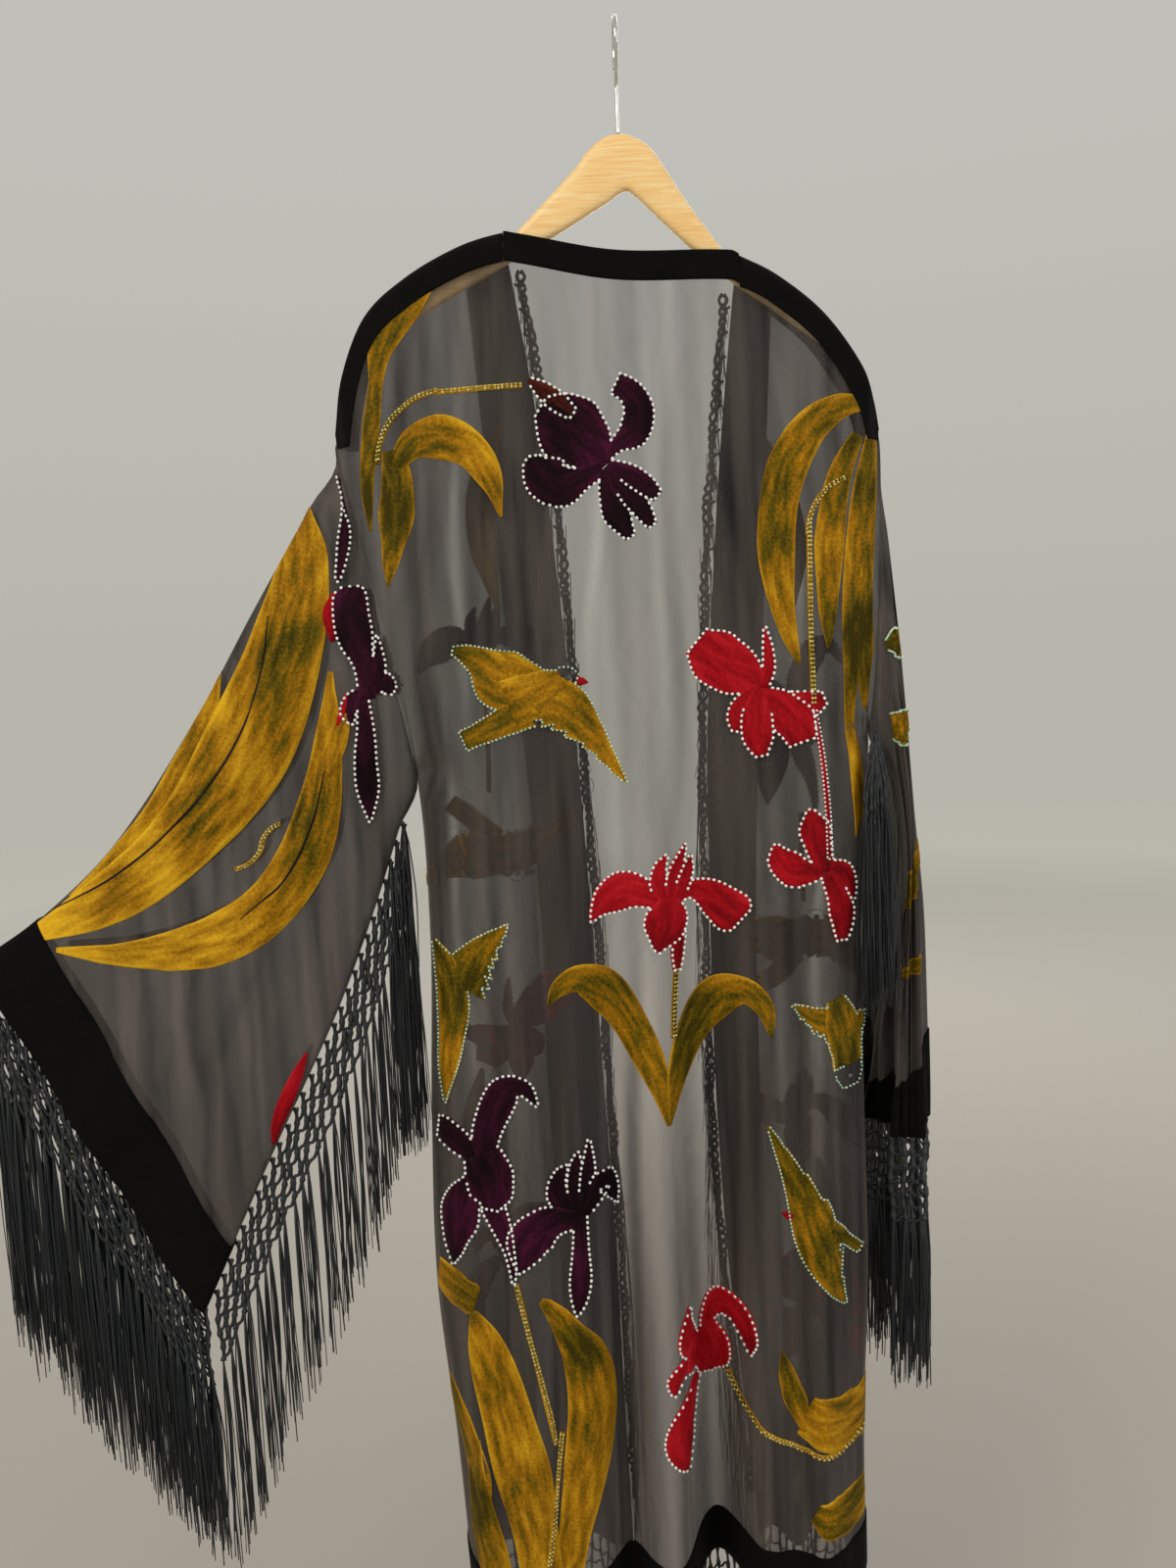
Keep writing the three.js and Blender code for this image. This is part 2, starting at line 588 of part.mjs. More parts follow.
// Fringe: a knotted header that hangs from an edge, and strands fused to its foot
function manifoldOf(geometry) {
  const plain = geometry.clone();
  plain.deleteAttribute('normal');
  plain.deleteAttribute('uv');
  const merged = BufferGeometryUtils.mergeVertices(plain, 1e-4);
  return new wasm.Manifold(new wasm.Mesh({
    numProp: 3,
    vertProperties: new Float32Array(merged.attributes.position.array),
    triVerts: new Uint32Array(merged.index.array),
  }));
}

function geometryOf(manifold) {
  const mesh = manifold.getMesh();
  const geometry = new THREE.BufferGeometry();
  const places = new Float32Array(mesh.vertProperties);
  geometry.setAttribute('position', new THREE.BufferAttribute(places, 3));
  geometry.setIndex([...mesh.triVerts]);
  geometry.computeVertexNormals();
  return geometry;
}

// Strand of three sides along a path, turned by its own angle
function strand(path, turn) {
  const rings = path.map((point) => ring(3, (angle) => new THREE.Vector3(
    point.x + STRAND_RADIUS * Math.cos(angle + turn),
    point.y + STRAND_RADIUS * Math.sin(angle + turn),
    point.z,
  )));
  return skin(rings);
}

const fused = (header, strands) => geometryOf(
  strands.reduce((sum, piece) => sum.add(manifoldOf(piece)), manifoldOf(header)),
);

// Place along a line of points at a share of its length
function along(line, share) {
  const steps = line.slice(1).map((point, i) => point.distanceTo(line[i]));
  let left = share * steps.reduce((sum, step) => sum + step, 0);
  let i = 0;
  while (i < steps.length - 1 && left > steps[i]) {
    left -= steps[i];
    i += 1;
  }
  return line[i].clone().lerp(line[i + 1], left / steps[i]);
}

// Small uneven sway of the k-th strand
const sway = (k, size) => size * Math.sin(2.4 * k + 0.7 * Math.sin(5.1 * k));

const ROOT = 5;             // how far a strand's root reaches into the header
const STRAND_SWAY = 1.2;
const LENGTH_SWAY = 9;
const FRONT_SEAT = { left: 0.9, right: 1.9 };
const LANE_TURN = 14;       // a strand leaves the header within this drop

// Fringe below an edge that runs level or slants. `keep` holds it clear of the next one.
function hangingFringe(name, edge, gap, loop, keep) {
  const { count, first, last } = fringes[name];
  const lowered = (drop) => edge.map((point) => new THREE.Vector3(point.x, point.y, point.z - drop));
  const high = lowered(gap);
  const foot = lowered(NET_DROP);
  const header = lattice(high.map((point, i) => [point, foot[i]]), {
    loop,
    facing: (point) => new THREE.Vector3(0, point.y, 0),
  });
  const line = loop ? [...foot, foot[0]] : foot;
  const strands = Array.from({ length: count }, (_, k) => {
    const root = along(line, (k + 0.5) / count);
    const share = (k + 0.5) / count;
    const length = mix(first, last, loop ? 1 - Math.abs(1 - 2 * share) : share) + sway(k, LENGTH_SWAY);
    const path = [ROOT, -length].map((rise, i) => new THREE.Vector3(
      root.x + i * sway(k, STRAND_SWAY),
      root.y + i * sway(k + 3, STRAND_SWAY),
      root.z + rise,
    ));
    return strand(path, k);
  });
  return fused(wall(header, -NET_WALL / 2, NET_WALL / 2, keep), strands);
}

// Fringe beside an upright edge, a line of points: its strands fall along it in lanes, so
// that they stay apart. `stands` are the lanes' distances from the header, and `start`
// is the header's from the edge.
function uprightFringe(name, { edge, direction, stands, lanes, start, width }) {
  const { count, first } = fringes[name];
  const from = -edge[0].z;
  const to = -edge[edge.length - 1].z;
  const edgeAt = (drop) => {
    const j = clamp(edge.findIndex((point) => -point.z >= drop), 1, edge.length - 1);
    const share = (-drop - edge[j - 1].z) / (edge[j].z - edge[j - 1].z);
    return edge[j - 1].clone().lerp(edge[j], share);
  };
  const beside = (point, distance) => point.clone().addScaledVector(direction, distance);
  const points = edge.map((point) => [start, width].map((distance) => beside(point, distance)));
  const normal = direction.clone().cross(new THREE.Vector3(0, 0, 1)).normalize();
  const strands = Array.from({ length: count }, (_, k) => {
    const lane = k % lanes;
    const stand = stands[Math.floor(k / lanes) % stands.length];
    const distance = mix(start + STRAND_RADIUS, width - STRAND_RADIUS, lane / (lanes - 1));
    const drop = mix(from, to, (k + 0.4) / count);
    const length = first + sway(k, LENGTH_SWAY);
    const path = [0, LANE_TURN, length].map((down, i) => {
      const place = beside(edgeAt(Math.min(drop + down, to)), distance);
      place.z = -drop - down;
      return place.addScaledVector(normal, i === 0 ? 0 : stand);
    });
    return strand(path, k);
  });
  return fused(wall(lattice(points, { facing: () => normal }), -NET_WALL / 2, NET_WALL / 2), strands);
}

// Wooden hanger: a blunt section along its length, bent forward at both ends
function hangerWood() {
  const sections = woodLine.map(({ x, top: high, low, half }) => {
    const r = Math.min(WOOD_ROUND, half - 1, (low - high) / 2 - 1);
    const corners = [[1, -1], [1, 1], [-1, 1], [-1, -1]];
    return corners.flatMap(([sideY, sideZ], i) => {
      const y = sideY * half;
      const z = sideZ > 0 ? -high : -low;
      const cutY = new THREE.Vector3(x, contour(x) + y - sideY * r, z);
      const cutZ = new THREE.Vector3(x, contour(x) + y, z - sideZ * r);
      return i % 2 === 0 ? [cutY, cutZ] : [cutZ, cutY];
    });
  });
  return skin(sections);
}

// Hook: a round crown over the origin, and a shank down into the wood
function hangerHook() {
  const middle = WIRE - HOOK_RADIUS;
  const tip = 130;
  const heel = -112;
  const bends = 12;
  const points = Array.from({ length: bends + 1 }, (_, k) => {
    const angle = THREE.MathUtils.degToRad(mix(tip, heel, k / bends));
    return new THREE.Vector3(0, HOOK_RADIUS * Math.sin(angle), middle + HOOK_RADIUS * Math.cos(angle));
  });
  points.push(new THREE.Vector3(0, -6.5, -37));
  points.push(new THREE.Vector3(0, -0.8, -SHANK_TOP + 5));
  points.push(new THREE.Vector3(0, 0, -SHANK_TOP));
  points.push(new THREE.Vector3(0, 0, -(SHANK_TOP + SHANK_LOW) / 2));
  points.push(new THREE.Vector3(0, 0, -SHANK_LOW));
  const section = new THREE.Shape(ring(8, (angle) => (
    new THREE.Vector2(WIRE * Math.cos(angle), WIRE * Math.sin(angle)))));
  return new THREE.ExtrudeGeometry(section, {
    steps: 30,
    bevelEnabled: false,
    extrudePath: new THREE.CatmullRomCurve3(points),
  });
}

const finishes = {
  chiffon: { color: 0x4a4442, roughness: 0.8 },
  velvet: { color: 0x0b0a0b, roughness: 0.9 },
  viscose: { color: 0x12181b, roughness: 0.45 },
  wood: { color: 0xe0b47a, roughness: 0.5 },
  chrome: { color: 0xd8d4cc, roughness: 0.2, metalness: 1 },
};

const jacket = new THREE.Group();
function add(name, finish, geometry) {
  const mesh = new THREE.Mesh(geometry, new THREE.MeshStandardMaterial(finishes[finish]));
  mesh.name = name;
  jacket.add(mesh);
}

for (const name of Object.keys(panels)) {
  add(name, 'chiffon', panelWall(name));
}
add('sleeve_left', 'chiffon', sleeveWall(leftSleeveLattice, -1));
add('sleeve_right', 'chiffon', sleeveWall(rightSleeveLattice, 1));

// Velvet bands, drawn in by a gap where two of them meet
const column = (name, u) => lattices[name].us.findIndex((value) => Math.abs(value - u) < 1e-6);
const backEnd = column('back', 1);
const leftEnd = column('front_left', NECK.left);
const rightEnd = column('front_right', 1);
const neck = [column('back', NECK.left), column('back', NECK.right)];
const bandEdge = [column('front_left', FRONT_BAND.left), column('front_right', FRONT_BAND.right)];
const lastRow = TOP_ROWS.length + LONG_STEPS;
const hemRows = [lastRow - 1, lastRow];
const shoulderRow = TOP_ROWS.length - 1;
const part = 2 * GAP;
add('neck_band', 'velvet', bandWall('back', {
  us: neck, rows: [0, shoulderRow], inset: { first: part, last: part },
}));
add('shoulder_band_left', 'velvet', shoulderBand(
  'front_left', [0, neck[0]], [0, leftEnd], { first: ARM_CLEAR },
));
add('shoulder_band_right', 'velvet', shoulderBand(
  'front_right', [neck[1], backEnd], [0, rightEnd], { last: ARM_CLEAR },
));
add('front_band_left', 'velvet', bandWall('front_left', {
  us: [bandEdge[0], leftEnd], rows: [shoulderRow, lastRow], inset: { above: part },
}));
add('front_band_right', 'velvet', bandWall('front_right', {
  us: [0, bandEdge[1]], rows: [shoulderRow, lastRow], inset: { above: part },
}));
add('hem_band_back', 'velvet', bandWall('back', { us: [0, backEnd], rows: hemRows }));
add('hem_band_left', 'velvet', bandWall('front_left', {
  us: [0, bandEdge[0]], rows: hemRows, inset: { last: part },
}));
add('hem_band_right', 'velvet', bandWall('front_right', {
  us: [bandEdge[1], rightEnd], rows: hemRows, inset: { first: part },
}));
add('cuff_band_left', 'velvet', cuffBand(leftSleeveLattice));
add('cuff_band_right', 'velvet', cuffBand(rightSleeveLattice));

// Fringes
const lastOf = (sleeve) => sleeve.points.map((line) => line[line.length - 1]);
add('fringe_cuff_left', 'viscose', hangingFringe('fringe_cuff_left', lastOf(leftSleeveLattice), 3, true));
add('fringe_cuff_right', 'viscose', hangingFringe(
  'fringe_cuff_right', lastOf(rightSleeveLattice), 0.8, true,
));
const seamLine = SEAM_STEPS.map((t) => {
  const point = leftSleevePoint(Math.PI, t);
  point.z -= mix(SEAM_DROP.sleeve, SEAM_DROP.cuff, smooth((t - 0.8) / 0.08));
  return point;
});
add('fringe_sleeve_left', 'viscose', hangingFringe('fringe_sleeve_left', seamLine, 0, false));
add('fringe_sleeve_right', 'viscose', uprightFringe('fringe_sleeve_right', {
  edge: bunchLine,
  direction: new THREE.Vector3(-1, 0, 0),
  stands: [-9, -4.5],
  lanes: 5,
  start: 1,
  width: BUNCH.width,
}));
for (const [side, sign] of [['left', 1], ['right', -1]]) {
  const name = `front_${side}`;
  const edge = lattices[name].points[column(name, NECK[side])];
  add(`fringe_${name}`, 'viscose', uprightFringe(`fringe_${name}`, {
    edge: edge.slice(shoulderRow, lastRow),
    direction: new THREE.Vector3(sign, 0, 0),
    stands: [5, -5],
    lanes: 3,
    start: FRONT_SEAT[side],
    width: NET_SIDE,
  }));
}
for (const name of Object.keys(panels)) {
  const { us, points } = lattices[name];
  const label = name.replace('front_', '');
  add(`fringe_hem_${label}`, 'viscose', hangingFringe(
    `fringe_hem_${label}`, points.map((line) => line[lastRow]), 0.8, false, kept(name, { us })));
}

add('hanger_wood', 'wood', hangerWood());
add('hanger_hook', 'chrome', hangerHook());

export default jacket;
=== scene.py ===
# Long open jacket of sheer burnt-out velvet, hung on a wooden hanger: its looks.
# Tables are in millimetres, in the frame of the part's source, and a mesh is in metres.
# The back faces -Y, the fronts face +Y, and the wearer's right is +X. In the tables,
# `drop` is how far a place lies below the crown of the hook.
import math

import bpy
import numpy as np
from mathutils import Matrix, Vector


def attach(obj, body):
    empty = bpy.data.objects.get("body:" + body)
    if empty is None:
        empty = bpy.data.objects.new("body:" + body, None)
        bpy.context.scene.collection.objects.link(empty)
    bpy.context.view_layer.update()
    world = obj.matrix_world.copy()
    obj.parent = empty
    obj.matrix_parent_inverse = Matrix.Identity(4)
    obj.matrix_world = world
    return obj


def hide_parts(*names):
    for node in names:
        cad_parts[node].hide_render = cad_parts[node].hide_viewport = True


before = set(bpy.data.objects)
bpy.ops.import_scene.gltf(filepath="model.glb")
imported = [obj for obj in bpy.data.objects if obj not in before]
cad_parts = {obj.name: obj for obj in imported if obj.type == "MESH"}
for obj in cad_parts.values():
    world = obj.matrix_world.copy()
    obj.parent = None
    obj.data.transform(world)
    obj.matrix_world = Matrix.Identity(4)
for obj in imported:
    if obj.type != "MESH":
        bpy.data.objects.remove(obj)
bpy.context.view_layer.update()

MM = 0.001


# Small helpers


def table(names, *rows):
    """Columns of numbers under their names."""
    return dict(zip(names.split(), np.array(rows, float).T))


def mix(a, b, t):
    """What lies a share t of the way from a to b."""
    return a + (b - a) * t


def smooth(x):
    """0 below 0, 1 above 1, and a soft step between."""
    t = np.clip(x, 0, 1)
    return t * t * (3 - 2 * t)


def quarter(x):
    """Quarter of a circle that rises from 0 to 1."""
    return np.sqrt(np.maximum(1 - (1 - np.clip(x, 0, 1)) ** 2, 0))


def unit(vectors):
    """Vectors of the same directions and length 1."""
    return vectors / np.maximum(np.linalg.norm(vectors, axis=-1, keepdims=True), 1e-9)


def stack(x, y, z):
    """Points from their coordinates."""
    return np.stack(np.broadcast_arrays(x, y, z), axis=-1).astype(float)


def spread(start, stop, count):
    """Numbers at an even pitch from start to stop."""
    return np.linspace(start, stop, count)


def turns(count):
    """Angles at an even pitch, once round."""
    return np.arange(count) * 2 * math.pi / count


def curve(columns, given, wanted):
    """Smooth curve through a table: cubic pieces, each row's slope that of its neighbours' chord."""
    xs, ys = columns[given], columns[wanted]
    before = np.maximum(np.arange(len(xs)) - 1, 0)
    after = np.minimum(np.arange(len(xs)) + 1, len(xs) - 1)
    slopes = (ys[after] - ys[before]) / (xs[after] - xs[before])

    def at(x):
        """The curve's value at x."""
        x = np.clip(x, xs[0], xs[-1])
        i = np.clip(np.searchsorted(xs, x, side="right") - 1, 0, len(xs) - 2)
        width = xs[i + 1] - xs[i]
        t = (x - xs[i]) / width
        bend = t * (1 - t) ** 2 * slopes[i] - t * t * (1 - t) * slopes[i + 1]
        return mix(ys[i], ys[i + 1], t * t * (3 - 2 * t)) + bend * width

    return at


# Camera: the photograph's own viewpoint, behind the jacket at the height of its
# shoulders, tipped down and turned a little
CAMERA_PLACE = (-0.044, -0.965, -0.453)
CAMERA_PITCH = math.radians(7.7)
CAMERA_ROLL = math.radians(2.4)
CAMERA_LENS, SENSOR_WIDTH = 27.05, 36


def stand_camera():
    """The scene's camera, at its place, pitch and roll."""
    level = Vector((1, 0, 0))
    upright = Vector((0, math.sin(CAMERA_PITCH), math.cos(CAMERA_PITCH)))
    right = level * math.cos(CAMERA_ROLL) - upright * math.sin(CAMERA_ROLL)
    above = level * math.sin(CAMERA_ROLL) + upright * math.cos(CAMERA_ROLL)
    turned = Matrix((right, above, right.cross(above))).transposed().to_4x4()
    camera = bpy.data.objects.new("camera", bpy.data.cameras.new("camera"))
    camera.data.lens = CAMERA_LENS
    camera.data.sensor_width = SENSOR_WIDTH
    camera.data.clip_start = 0.02
    camera.matrix_world = Matrix.Translation(CAMERA_PLACE) @ turned
    bpy.context.scene.collection.objects.link(camera)
    bpy.context.scene.camera = camera


stand_camera()

# The cut of the garment
CLOTH = 0.6                 # thickness of the sheer cloth
GAP = 0.3                   # between two pieces at a seam
BAND_WIDTH = 22             # neck and shoulder bands
HEM_BAND_WIDTH = 45
TOP_ROUND = 9               # how far down the cloth rounds over at the shoulder line
SIDE_ROUND = 30             # how far in it rounds over at a side seam
CONTOUR = 22                # how far forward the hanger bends at CONTOUR_REACH from its middle
CONTOUR_REACH = 200
RIM = 1.15                  # where front and back start on each side of the shoulder line
CUT = {"left": (300, 565), "right": (312, 543)}     # armholes: shoulder and underarm
ARMHOLE_OPEN = 17           # half an armhole's opening, front to back
ARMHOLE_ROUND = (16, 40)    # how far in the cloth rounds over at its top and at its foot
ARMHOLE_END = (12, 40)      # how far above the underarm it starts to close, and how slowly
FREE_DROP = 560             # where the cloth hangs free of the hanger
FOLD_START = 120            # the length over which a fold comes in
HEM_DROP = (1302, 1292)     # at the left and the right side seam
SEAM_SHIFT = 0.15           # of a sleeve, off the body's edge

top_line = table(
    "u x drop low",
    (0.000, -239, 300.0, -1.000),
    (0.080, -228, 248.0, -0.975),
    (0.150, -207, 204.0, -0.930),
    (0.230, -172, 177.0, -0.840),
    (0.310, -127, 157.0, -0.660),
    (0.370, -92, 149.5, -0.490),
    (0.385, -84, 151.0, -0.450),
    (0.500, -6, 168.0, -0.020),
    (0.625, 83, 170.5, 0.445),
    (0.640, 90, 173.5, 0.485),
    (0.710, 120, 188.0, 0.660),
    (0.790, 157, 216.0, 0.840),
    (0.870, 186, 253.0, 0.930),
    (0.930, 198, 282.0, 0.965),
    (1.000, 204, 312.0, 1.000),
)
NECK_LEFT, NECK_RIGHT = 0.370, 0.640
BAND_LEFT, BAND_RIGHT = 0.310, 0.710

outline = table(
    "drop left right front_left front_right back front",
    (150, -239, 206, -90, 89, 9, 9),
    (300, -239, 204, -70, 74, 15, 15),
    (430, -212, 197, -61, 65, 25, 24),
    (565, -185, 187, -52, 59, 33, 34),
    (700, -181, 180, -46, 58, 36, 40),
    (860, -189, 180, -41, 59, 38, 44),
    (1010, -193, 182, -36, 65, 40, 46),
    (1150, -184, 177, -34, 76, 40, 48),
    (1310, -177, 177, -31, 90, 40, 50),
)

# Folds that hang in a panel, from `start` down to the hem: middle at the top and at
# the hem, half width, and how far the fold stands out there.
back_folds = table(
    "start top hem half top_deep hem_deep",
    (300, -150, -150, 38, 5, 22),
    (330, -104, -112, 40, 3, 34),
    (420, -62, -70, 32, 1, 28),
    (560, -30, -33, 20, 0, -15),
    (480, 0, 2, 32, 1, 24),
    (560, 44, 46, 38, -1, -54),
    (420, 96, 93, 28, 2, 9),
    (330, 136, 131, 32, 4, 20),
)
left_folds = table(
    "start top hem half top_deep hem_deep",
    (320, -158, -152, 30, 4, 16),
    (420, -116, -112, 26, -2, -16),
    (360, -84, -74, 30, 2, 20),
)
right_folds = table(
    "start top hem half top_deep hem_deep",
    (320, 150, 152, 26, 3, 18),
    (420, 118, 124, 22, -2, -14),
    (360, 92, 104, 20, 2, 14),
)

# Finer creases of the hanging cloth: where one starts and ends, its middle at both
# ends, half width and depth. They fade in and out, and some cross the folds.
back_creases = table(
    "start end top low half deep",
    (190, 420, -176, -196, 9, 2.2),
    (215, 520, -140, -172, 10, 2.6),
    (205, 470, -96, -118, 8, -1.8),
    (230, 640, -58, -92, 11, 2.4),
    (260, 560, -20, -44, 9, -1.6),
    (250, 700, 34, 20, 12, 2.2),
    (240, 500, 70, 92, 9, -2.0),
    (255, 610, 108, 136, 10, 2.6),
    (280, 520, 150, 172, 8, 2.2),
    (330, 620, 180, 160, 8, -2.0),
    (420, 780, -160, -150, 9, -2.4),
    (540, 900, -128, -118, 8, 2.0),
    (600, 1010, -84, -80, 9, -2.2),
    (660, 1180, -12, -20, 10, 2.4),
    (700, 1100, 62, 70, 9, -2.6),
    (560, 940, 118, 110, 8, 2.2),
    (640, 1240, 152, 158, 9, -2.8),
    (820, 1300, -150, -162, 8, 2.8),
    (900, 1300, -96, -92, 7, -2.6),
    (960, 1300, -50, -44, 7, 2.6),
    (980, 1300, 24, 28, 8, -2.8),
    (940, 1300, 84, 78, 8, 2.8),
    (1010, 1300, 118, 122, 6, -2.4),
    (1040, 1300, 160, 152, 7, 2.6),
)
left_creases = table(
    "start end top low half deep",
    (200, 460, -180, -190, 9, 2.2),
    (220, 560, -138, -150, 10, -2.2),
    (240, 620, -112, -96, 9, 2.0),
    (480, 880, -164, -158, 8, -2.2),
    (560, 1040, -92, -84, 9, 2.4),
    (700, 1290, -140, -132, 8, 2.6),
    (860, 1290, -102, -96, 7, -2.6),
    (930, 1290, -168, -164, 7, -2.2),
)
right_creases = table(
    "start end top low half deep",
    (230, 500, 168, 178, 9, 2.2),
    (250, 600, 130, 146, 9, -2.0),
    (280, 640, 108, 96, 8, 2.2),
    (520, 900, 156, 150, 8, -2.4),
    (600, 1080, 98, 106, 8, 2.2),
    (760, 1290, 138, 132, 7, 2.6),
    (900, 1290, 112, 116, 7, -2.4),
)

# Left sleeve, held out flat: upper fold and lower seam, and half its depth
left_sleeve = table(
    "t up_x up_drop low_x low_drop half power",
    (0.00, -239, 300, -185, 565, 17, 2.0),
    (0.11, -263, 351, -204, 619, 15, 3.0),
    (0.26, -304, 422, -231, 691, 13, 4.5),
    (0.44, -355, 507, -268, 776, 12, 6.0),
    (0.70, -436, 616, -330, 895, 12, 6.0),
    (0.87, -506, 678, -369, 973, 12, 6.0),
    (1.00, -561, 713, -399, 1033, 12, 6.0),
)

# Right sleeve, hanging down as a loop: upper fold and lower seam, and its reach
# forward and backward from their middle
right_sleeve = table(
    "t up_x up_y up_drop low_x low_y low_drop half",
    (0.00, 204, 22, 312, 189, 0, 543, 17),
    (0.12, 209, 26, 385, 202, -12, 582, 22),
    (0.24, 215, 34, 458, 209, -13, 630, 31),
    (0.36, 221, 46, 530, 209, -6, 678, 44),
    (0.50, 228, 58, 612, 206, 20, 730, 62),
    (0.70, 236, 66, 722, 202, 50, 800, 78),
    (1.00, 236, 72, 894, 202, 64, 896, 84),
)
CUFF_BAND = 0.87            # where a cuff's velvet band starts along the sleeve

# Creases of the left sleeve: share of the way from the upper fold to the lower seam
# at both ends, where it starts and ends along the sleeve, half width, depth, and
# whether it lies on the back (-1) or on the front (1)
sleeve_creases = table(
    "start end top low half deep side",
    (0.02, 0.55, 0.08, 0.30, 0.035, 2.2, -1),
    (0.05, 0.80, 0.22, 0.48, 0.040, -2.4, -1),
    (0.04, 0.60, 0.42, 0.60, 0.045, 2.6, -1),
    (0.10, 0.95, 0.60, 0.74, 0.035, -2.2, -1),
    (0.30, 0.98, 0.10, 0.22, 0.030, 2.0, -1),
    (0.45, 0.99, 0.34, 0.42, 0.035, 2.4, -1),
    (0.52, 0.98, 0.52, 0.62, 0.030, -2.0, -1),
    (0.35, 0.98, 0.78, 0.88, 0.030, 2.0, -1),
    (0.03, 0.50, 0.12, 0.30, 0.040, 2.4, 1),
    (0.06, 0.86, 0.30, 0.52, 0.040, -2.2, 1),
    (0.08, 0.66, 0.52, 0.70, 0.040, 2.4, 1),
    (0.40, 0.98, 0.18, 0.30, 0.030, -2.2, 1),
    (0.50, 0.98, 0.62, 0.70, 0.035, 2.2, 1),
)

top_x, top_drop, top_low = (curve(top_line, "u", name) for name in ("x", "drop", "low"))
body = {name: curve(outline, "drop", name) for name in outline if name != "drop"}
left_cut = {name: curve(left_sleeve, "t", name) for name in left_sleeve if name != "t"}
right_cut = {name: curve(right_sleeve, "t", name) for name in right_sleeve if name != "t"}


def contour(x):
    """How far forward the hanger bends at x."""
    return CONTOUR * (x / CONTOUR_REACH) ** 2


def settle(start, drop):
    """0 at the shoulder line and 1 where the cloth hangs free."""
    return smooth((drop - start) / (FREE_DROP - start))


def arm_middle(u, drop):
    """Middle of the garment, front to back: the hanger's curve, fading out down to the underarm."""
    return contour(top_x(u)) * (1 - settle(top_drop(u), drop))


def fold_depth(folds, x, drop):
    """Sum of the folds: each a squared cosine across, its depth growing from top to hem."""
    x, drop = np.broadcast_arrays(x, drop)
    total = np.zeros(x.shape)
    for start, top, hem, half, top_deep, hem_deep in zip(*folds.values()):
        down = np.clip((drop - start) / (HEM_DROP[0] - start), 0, 1)
        across = np.clip(np.abs(x - mix(top, hem, down)) / half, 0, 1)
        deep = mix(top_deep, hem_deep, down) * smooth((drop - start + FOLD_START) / FOLD_START)
        total += deep * np.cos(across * math.pi / 2) ** 2
    return total


def crease_depth(creases, x, drop):
    """Sum of the creases: each a squared cosine across and a sine along, with a slight waver."""
    x, drop = np.broadcast_arrays(x, drop)
    total = np.zeros(x.shape)
    for start, end, top, low, half, deep in zip(*list(creases.values())[:6]):
        along = np.clip((drop - start) / (end - start), 0, 1)
        middle = mix(top, low, along) + 0.35 * half * np.sin(9 * along + top)
        across = np.clip(np.abs(x - middle) / (half * (0.75 + 0.5 * along)), 0, 1)
        total += deep * np.sin(math.pi * along) ** 0.8 * np.cos(across * math.pi / 2) ** 2
    return total


def sideways(u, drop):
    """Where a column of the back hangs: its share of the way between the side seams."""
    left, right = body["left"](drop), body["right"](drop)
    return (left + right) / 2 + top_low(u) * (right - left) / 2


def front_hang(neck, seam, side_column, edge_column):
    """The same for a front, between its side seam and its open edge."""
    def hang(u, drop):
        """Where a column of this front hangs."""
        share = (top_low(u) - seam) / (top_low(neck) - seam)
        return mix(body[side_column](drop), body[edge_column](drop), share)

    return hang


# `longer` is how much further down than the back a panel reaches
PANELS = {
    "back": dict(
        side=-1, depth="back", folds=back_folds, creases=back_creases, span=(0, 1),
        hang=sideways, closed=lambda u: (u <= NECK_LEFT) | (u >= NECK_RIGHT), longer=0,
    ),
    "front_left": dict(
        side=1, depth="front", folds=left_folds, creases=left_creases, span=(0, NECK_LEFT),
        hang=front_hang(NECK_LEFT, -1, "left", "front_left"), closed=lambda u: u >= 0, longer=24,
    ),
    "front_right": dict(
        side=1, depth="front", folds=right_folds, creases=right_creases, span=(NECK_RIGHT, 1),
        hang=front_hang(NECK_RIGHT, 1, "right", "front_right"), closed=lambda u: u >= 0, longer=24,
    ),
}


def panel_x(name, u, drop):
    """From its place on the shoulder line, a column draws in to where it hangs."""
    hang = PANELS[name]["hang"]
    start = top_drop(u)
    return hang(u, drop) + (top_x(u) - hang(u, start)) * (1 - settle(start, drop))


def panel_point(name, u, below):
    """A panel as a function of a column u of the top line and a drop below that line. It
    stands out from the garment's middle by its own depth, rounded off at the shoulder and
    the side seam, and its folds and creases are added there."""
    panel = PANELS[name]
    u, below = np.broadcast_arrays(u, below)
    start = top_drop(u)
    drop = start + below
    x = panel_x(name, u, drop)
    left, right = body["left"](drop), body["right"](drop)
    on_left = x < (left + right) / 2
    shoulder = np.where(on_left, CUT["left"][0], CUT["right"][0])
    underarm = np.where(on_left, CUT["left"][1], CUT["right"][1])
    inside = np.maximum(np.where(on_left, x - left, right - x), 0)
    down = (drop - shoulder) / (underarm - shoulder)
    on_armhole = 1 - smooth((drop - underarm + ARMHOLE_END[0]) / ARMHOLE_END[1])
    soft = smooth(inside / mix(*ARMHOLE_ROUND, np.clip(down, 0, 1)))
    across = mix(quarter(inside / SIDE_ROUND), soft, on_armhole)
    opened = ARMHOLE_OPEN * np.sqrt(1 - np.clip(1 - 2 * down, -1, 1) ** 2)
    at_edge = mix(GAP / 2, np.maximum(opened, RIM), on_armhole)
    over = np.where(panel["closed"](u), quarter(below / TOP_ROUND), 1)
    waves = fold_depth(panel["folds"], x, drop) + crease_depth(panel["creases"], x, drop)
    depth = at_edge + (body[panel["depth"]](drop) - at_edge + waves) * across
    return stack(x, arm_middle(u, drop) + panel["side"] * mix(RIM, depth, over), -drop)


def hem_below(name, u):
    """How far below the top line a panel's hem lies."""
    return mix(*HEM_DROP, u) + PANELS[name]["longer"] - top_drop(u)


